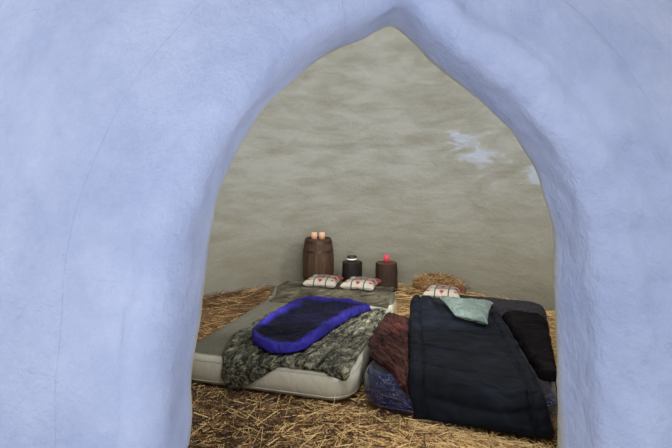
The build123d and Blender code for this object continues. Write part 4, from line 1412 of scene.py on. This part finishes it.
def stump(name, place, radius, height, seed, material):
    """A trunk with rough bark: ridges that wander round it, a bevelled sawn top."""
    heights = np.concatenate(((0.0, 0.0), np.linspace(0, height - 0.008, stump_rows),
                              (height - 0.002, height, height, height)))
    radii = np.concatenate(((radius * 0.5, radius), radius * np.linspace(1.06, 1.0, stump_rows),
                            (radius * 0.98, radius * 0.955, radius * 0.6, radius * 0.25)))

    def bark(turn, row):
        """Ridges of two sizes from noise stretched along the trunk, on its side and its bevel only."""
        around = (np.cos(turn) * 0.14, np.sin(turn) * 0.14, heights[row] * 0.35)
        points = np.stack(np.broadcast_arrays(*around), axis=-1)
        ridge = (value_noise(points.reshape(-1, 3), 0.028, seed) * 0.0055
                 + value_noise(points.reshape(-1, 3), 0.10, seed + 1) * 0.006).reshape(points.shape[:2])
        on_side = (row >= 1) & (row <= stump_rows + 3)
        return np.where(on_side, ridge, 0)

    piece = turned(f"{name}_wood", place, stump_base, radii, heights, 140, bark, [material])
    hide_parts(name)


bark_wood = wood("bark_wood", linear(32, 24, 19), linear(92, 68, 48), (16.0, 16.0, 4.0), dark_stump_place)
stump("dark_stump", dark_stump_place, 0.130, stump_height, 121, bark_wood)
pale_wood = wood("pale_wood", linear(66, 46, 32), linear(124, 92, 64), (16.0, 16.0, 4.0), pale_stump_place)
stump("pale_stump", pale_stump_place, 0.140, stump_height, 131, pale_wood)

# Candles: two amber glasses on the barrel, a red glass on the pale stump, and an open lantern bowl with a
# white light on the dark stump. Wax fills each below its rim.
candle_radius = 0.038
candle_height = 0.095
candle_wax_depth = 0.022
candle_glow = 0.6
half_candle_gap = 0.0525
amber_glass = linear(150, 104, 84)
pale_wax = linear(255, 226, 190)


def plain_side(turn, row):
    """No ripple: 0 at every turn and row."""
    return 0 * turn * row


def candle_glass(name, place, base, radius, height, wax_depth, glass_colour, light_colour, wax_colour, glow):
    """A straight glass with a round foot, open above its wax; its upper half and the wax glow softly."""
    glass, tree, shader, coordinates = start_material(f"{name}_glass")
    shade = remap(tree, noise(tree, coordinates, 40.0, 3.0), 0.0, 1.0, 0.85, 1.15)
    level = axes_of(tree, coordinates)[2]
    lit = remap(tree, level, base + 0.1 * height, base + 0.75 * height, 0.1 * glow, glow)
    feed(tree, shader, {"Base Color": calculate_vector(tree, "MULTIPLY", glass_colour[:3], shade),
                        "Roughness": 0.4, "Emission Color": light_colour, "Emission Strength": lit})
    wax, tree, shader, coordinates = start_material(f"{name}_wax")
    pool = emboss(tree, noise(tree, coordinates, 60.0, 2.0), 0.002, 0.5)
    feed(tree, shader, {"Base Color": wax_colour, "Normal": pool, "Roughness": 0.35,
                        "Emission Color": wax_colour, "Emission Strength": glow})
    inner = radius - 0.004
    wax_top = height - wax_depth
    radii = (radius * 0.5, radius - 0.003, radius - 0.001, radius, radius, radius, radius, radius - 0.001,
             inner + 0.001, inner, inner, inner, inner * 0.98, inner * 0.5)
    heights = (0, 0, 0.001, 0.004, height * 0.3, height * 0.6, height - 0.002, height,
               height, height - 0.002, height - wax_depth * 0.5, wax_top, wax_top, wax_top)
    piece = turned(name, place, base, radii, heights, 40, plain_side, [glass, wax])
    middle = np.zeros(len(piece.data.polygons) * 3, np.float32)
    piece.data.polygons.foreach_get("center", middle)
    on_wax = np.abs(middle.reshape(-1, 3)[:, 2] - (base + wax_top)) < 0.001
    piece.data.polygons.foreach_set("material_index", on_wax.astype(np.int32))
    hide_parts("candles")


barrel_seat = barrel_base + barrel_height - head_recess
stump_seat = stump_base + stump_height
candle_glass("left_candle", barrel_place - (half_candle_gap, 0), barrel_seat, candle_radius, candle_height,
             candle_wax_depth, amber_glass, linear(255, 200, 160), pale_wax, candle_glow)
candle_glass("right_candle", barrel_place + (half_candle_gap, 0), barrel_seat, candle_radius, candle_height,
             candle_wax_depth, amber_glass, linear(255, 206, 168), pale_wax, candle_glow)
candle_glass("red_candle", pale_stump_place, stump_seat, candle_radius, candle_height,
             candle_wax_depth, linear(120, 24, 34), linear(255, 92, 112), linear(255, 150, 150), candle_glow)
candle_glass("lantern_bowl", dark_stump_place, stump_seat, 0.065, 0.075, 0.0375,
             linear(40, 34, 31), linear(40, 34, 31), linear(255, 246, 228), 0.9)
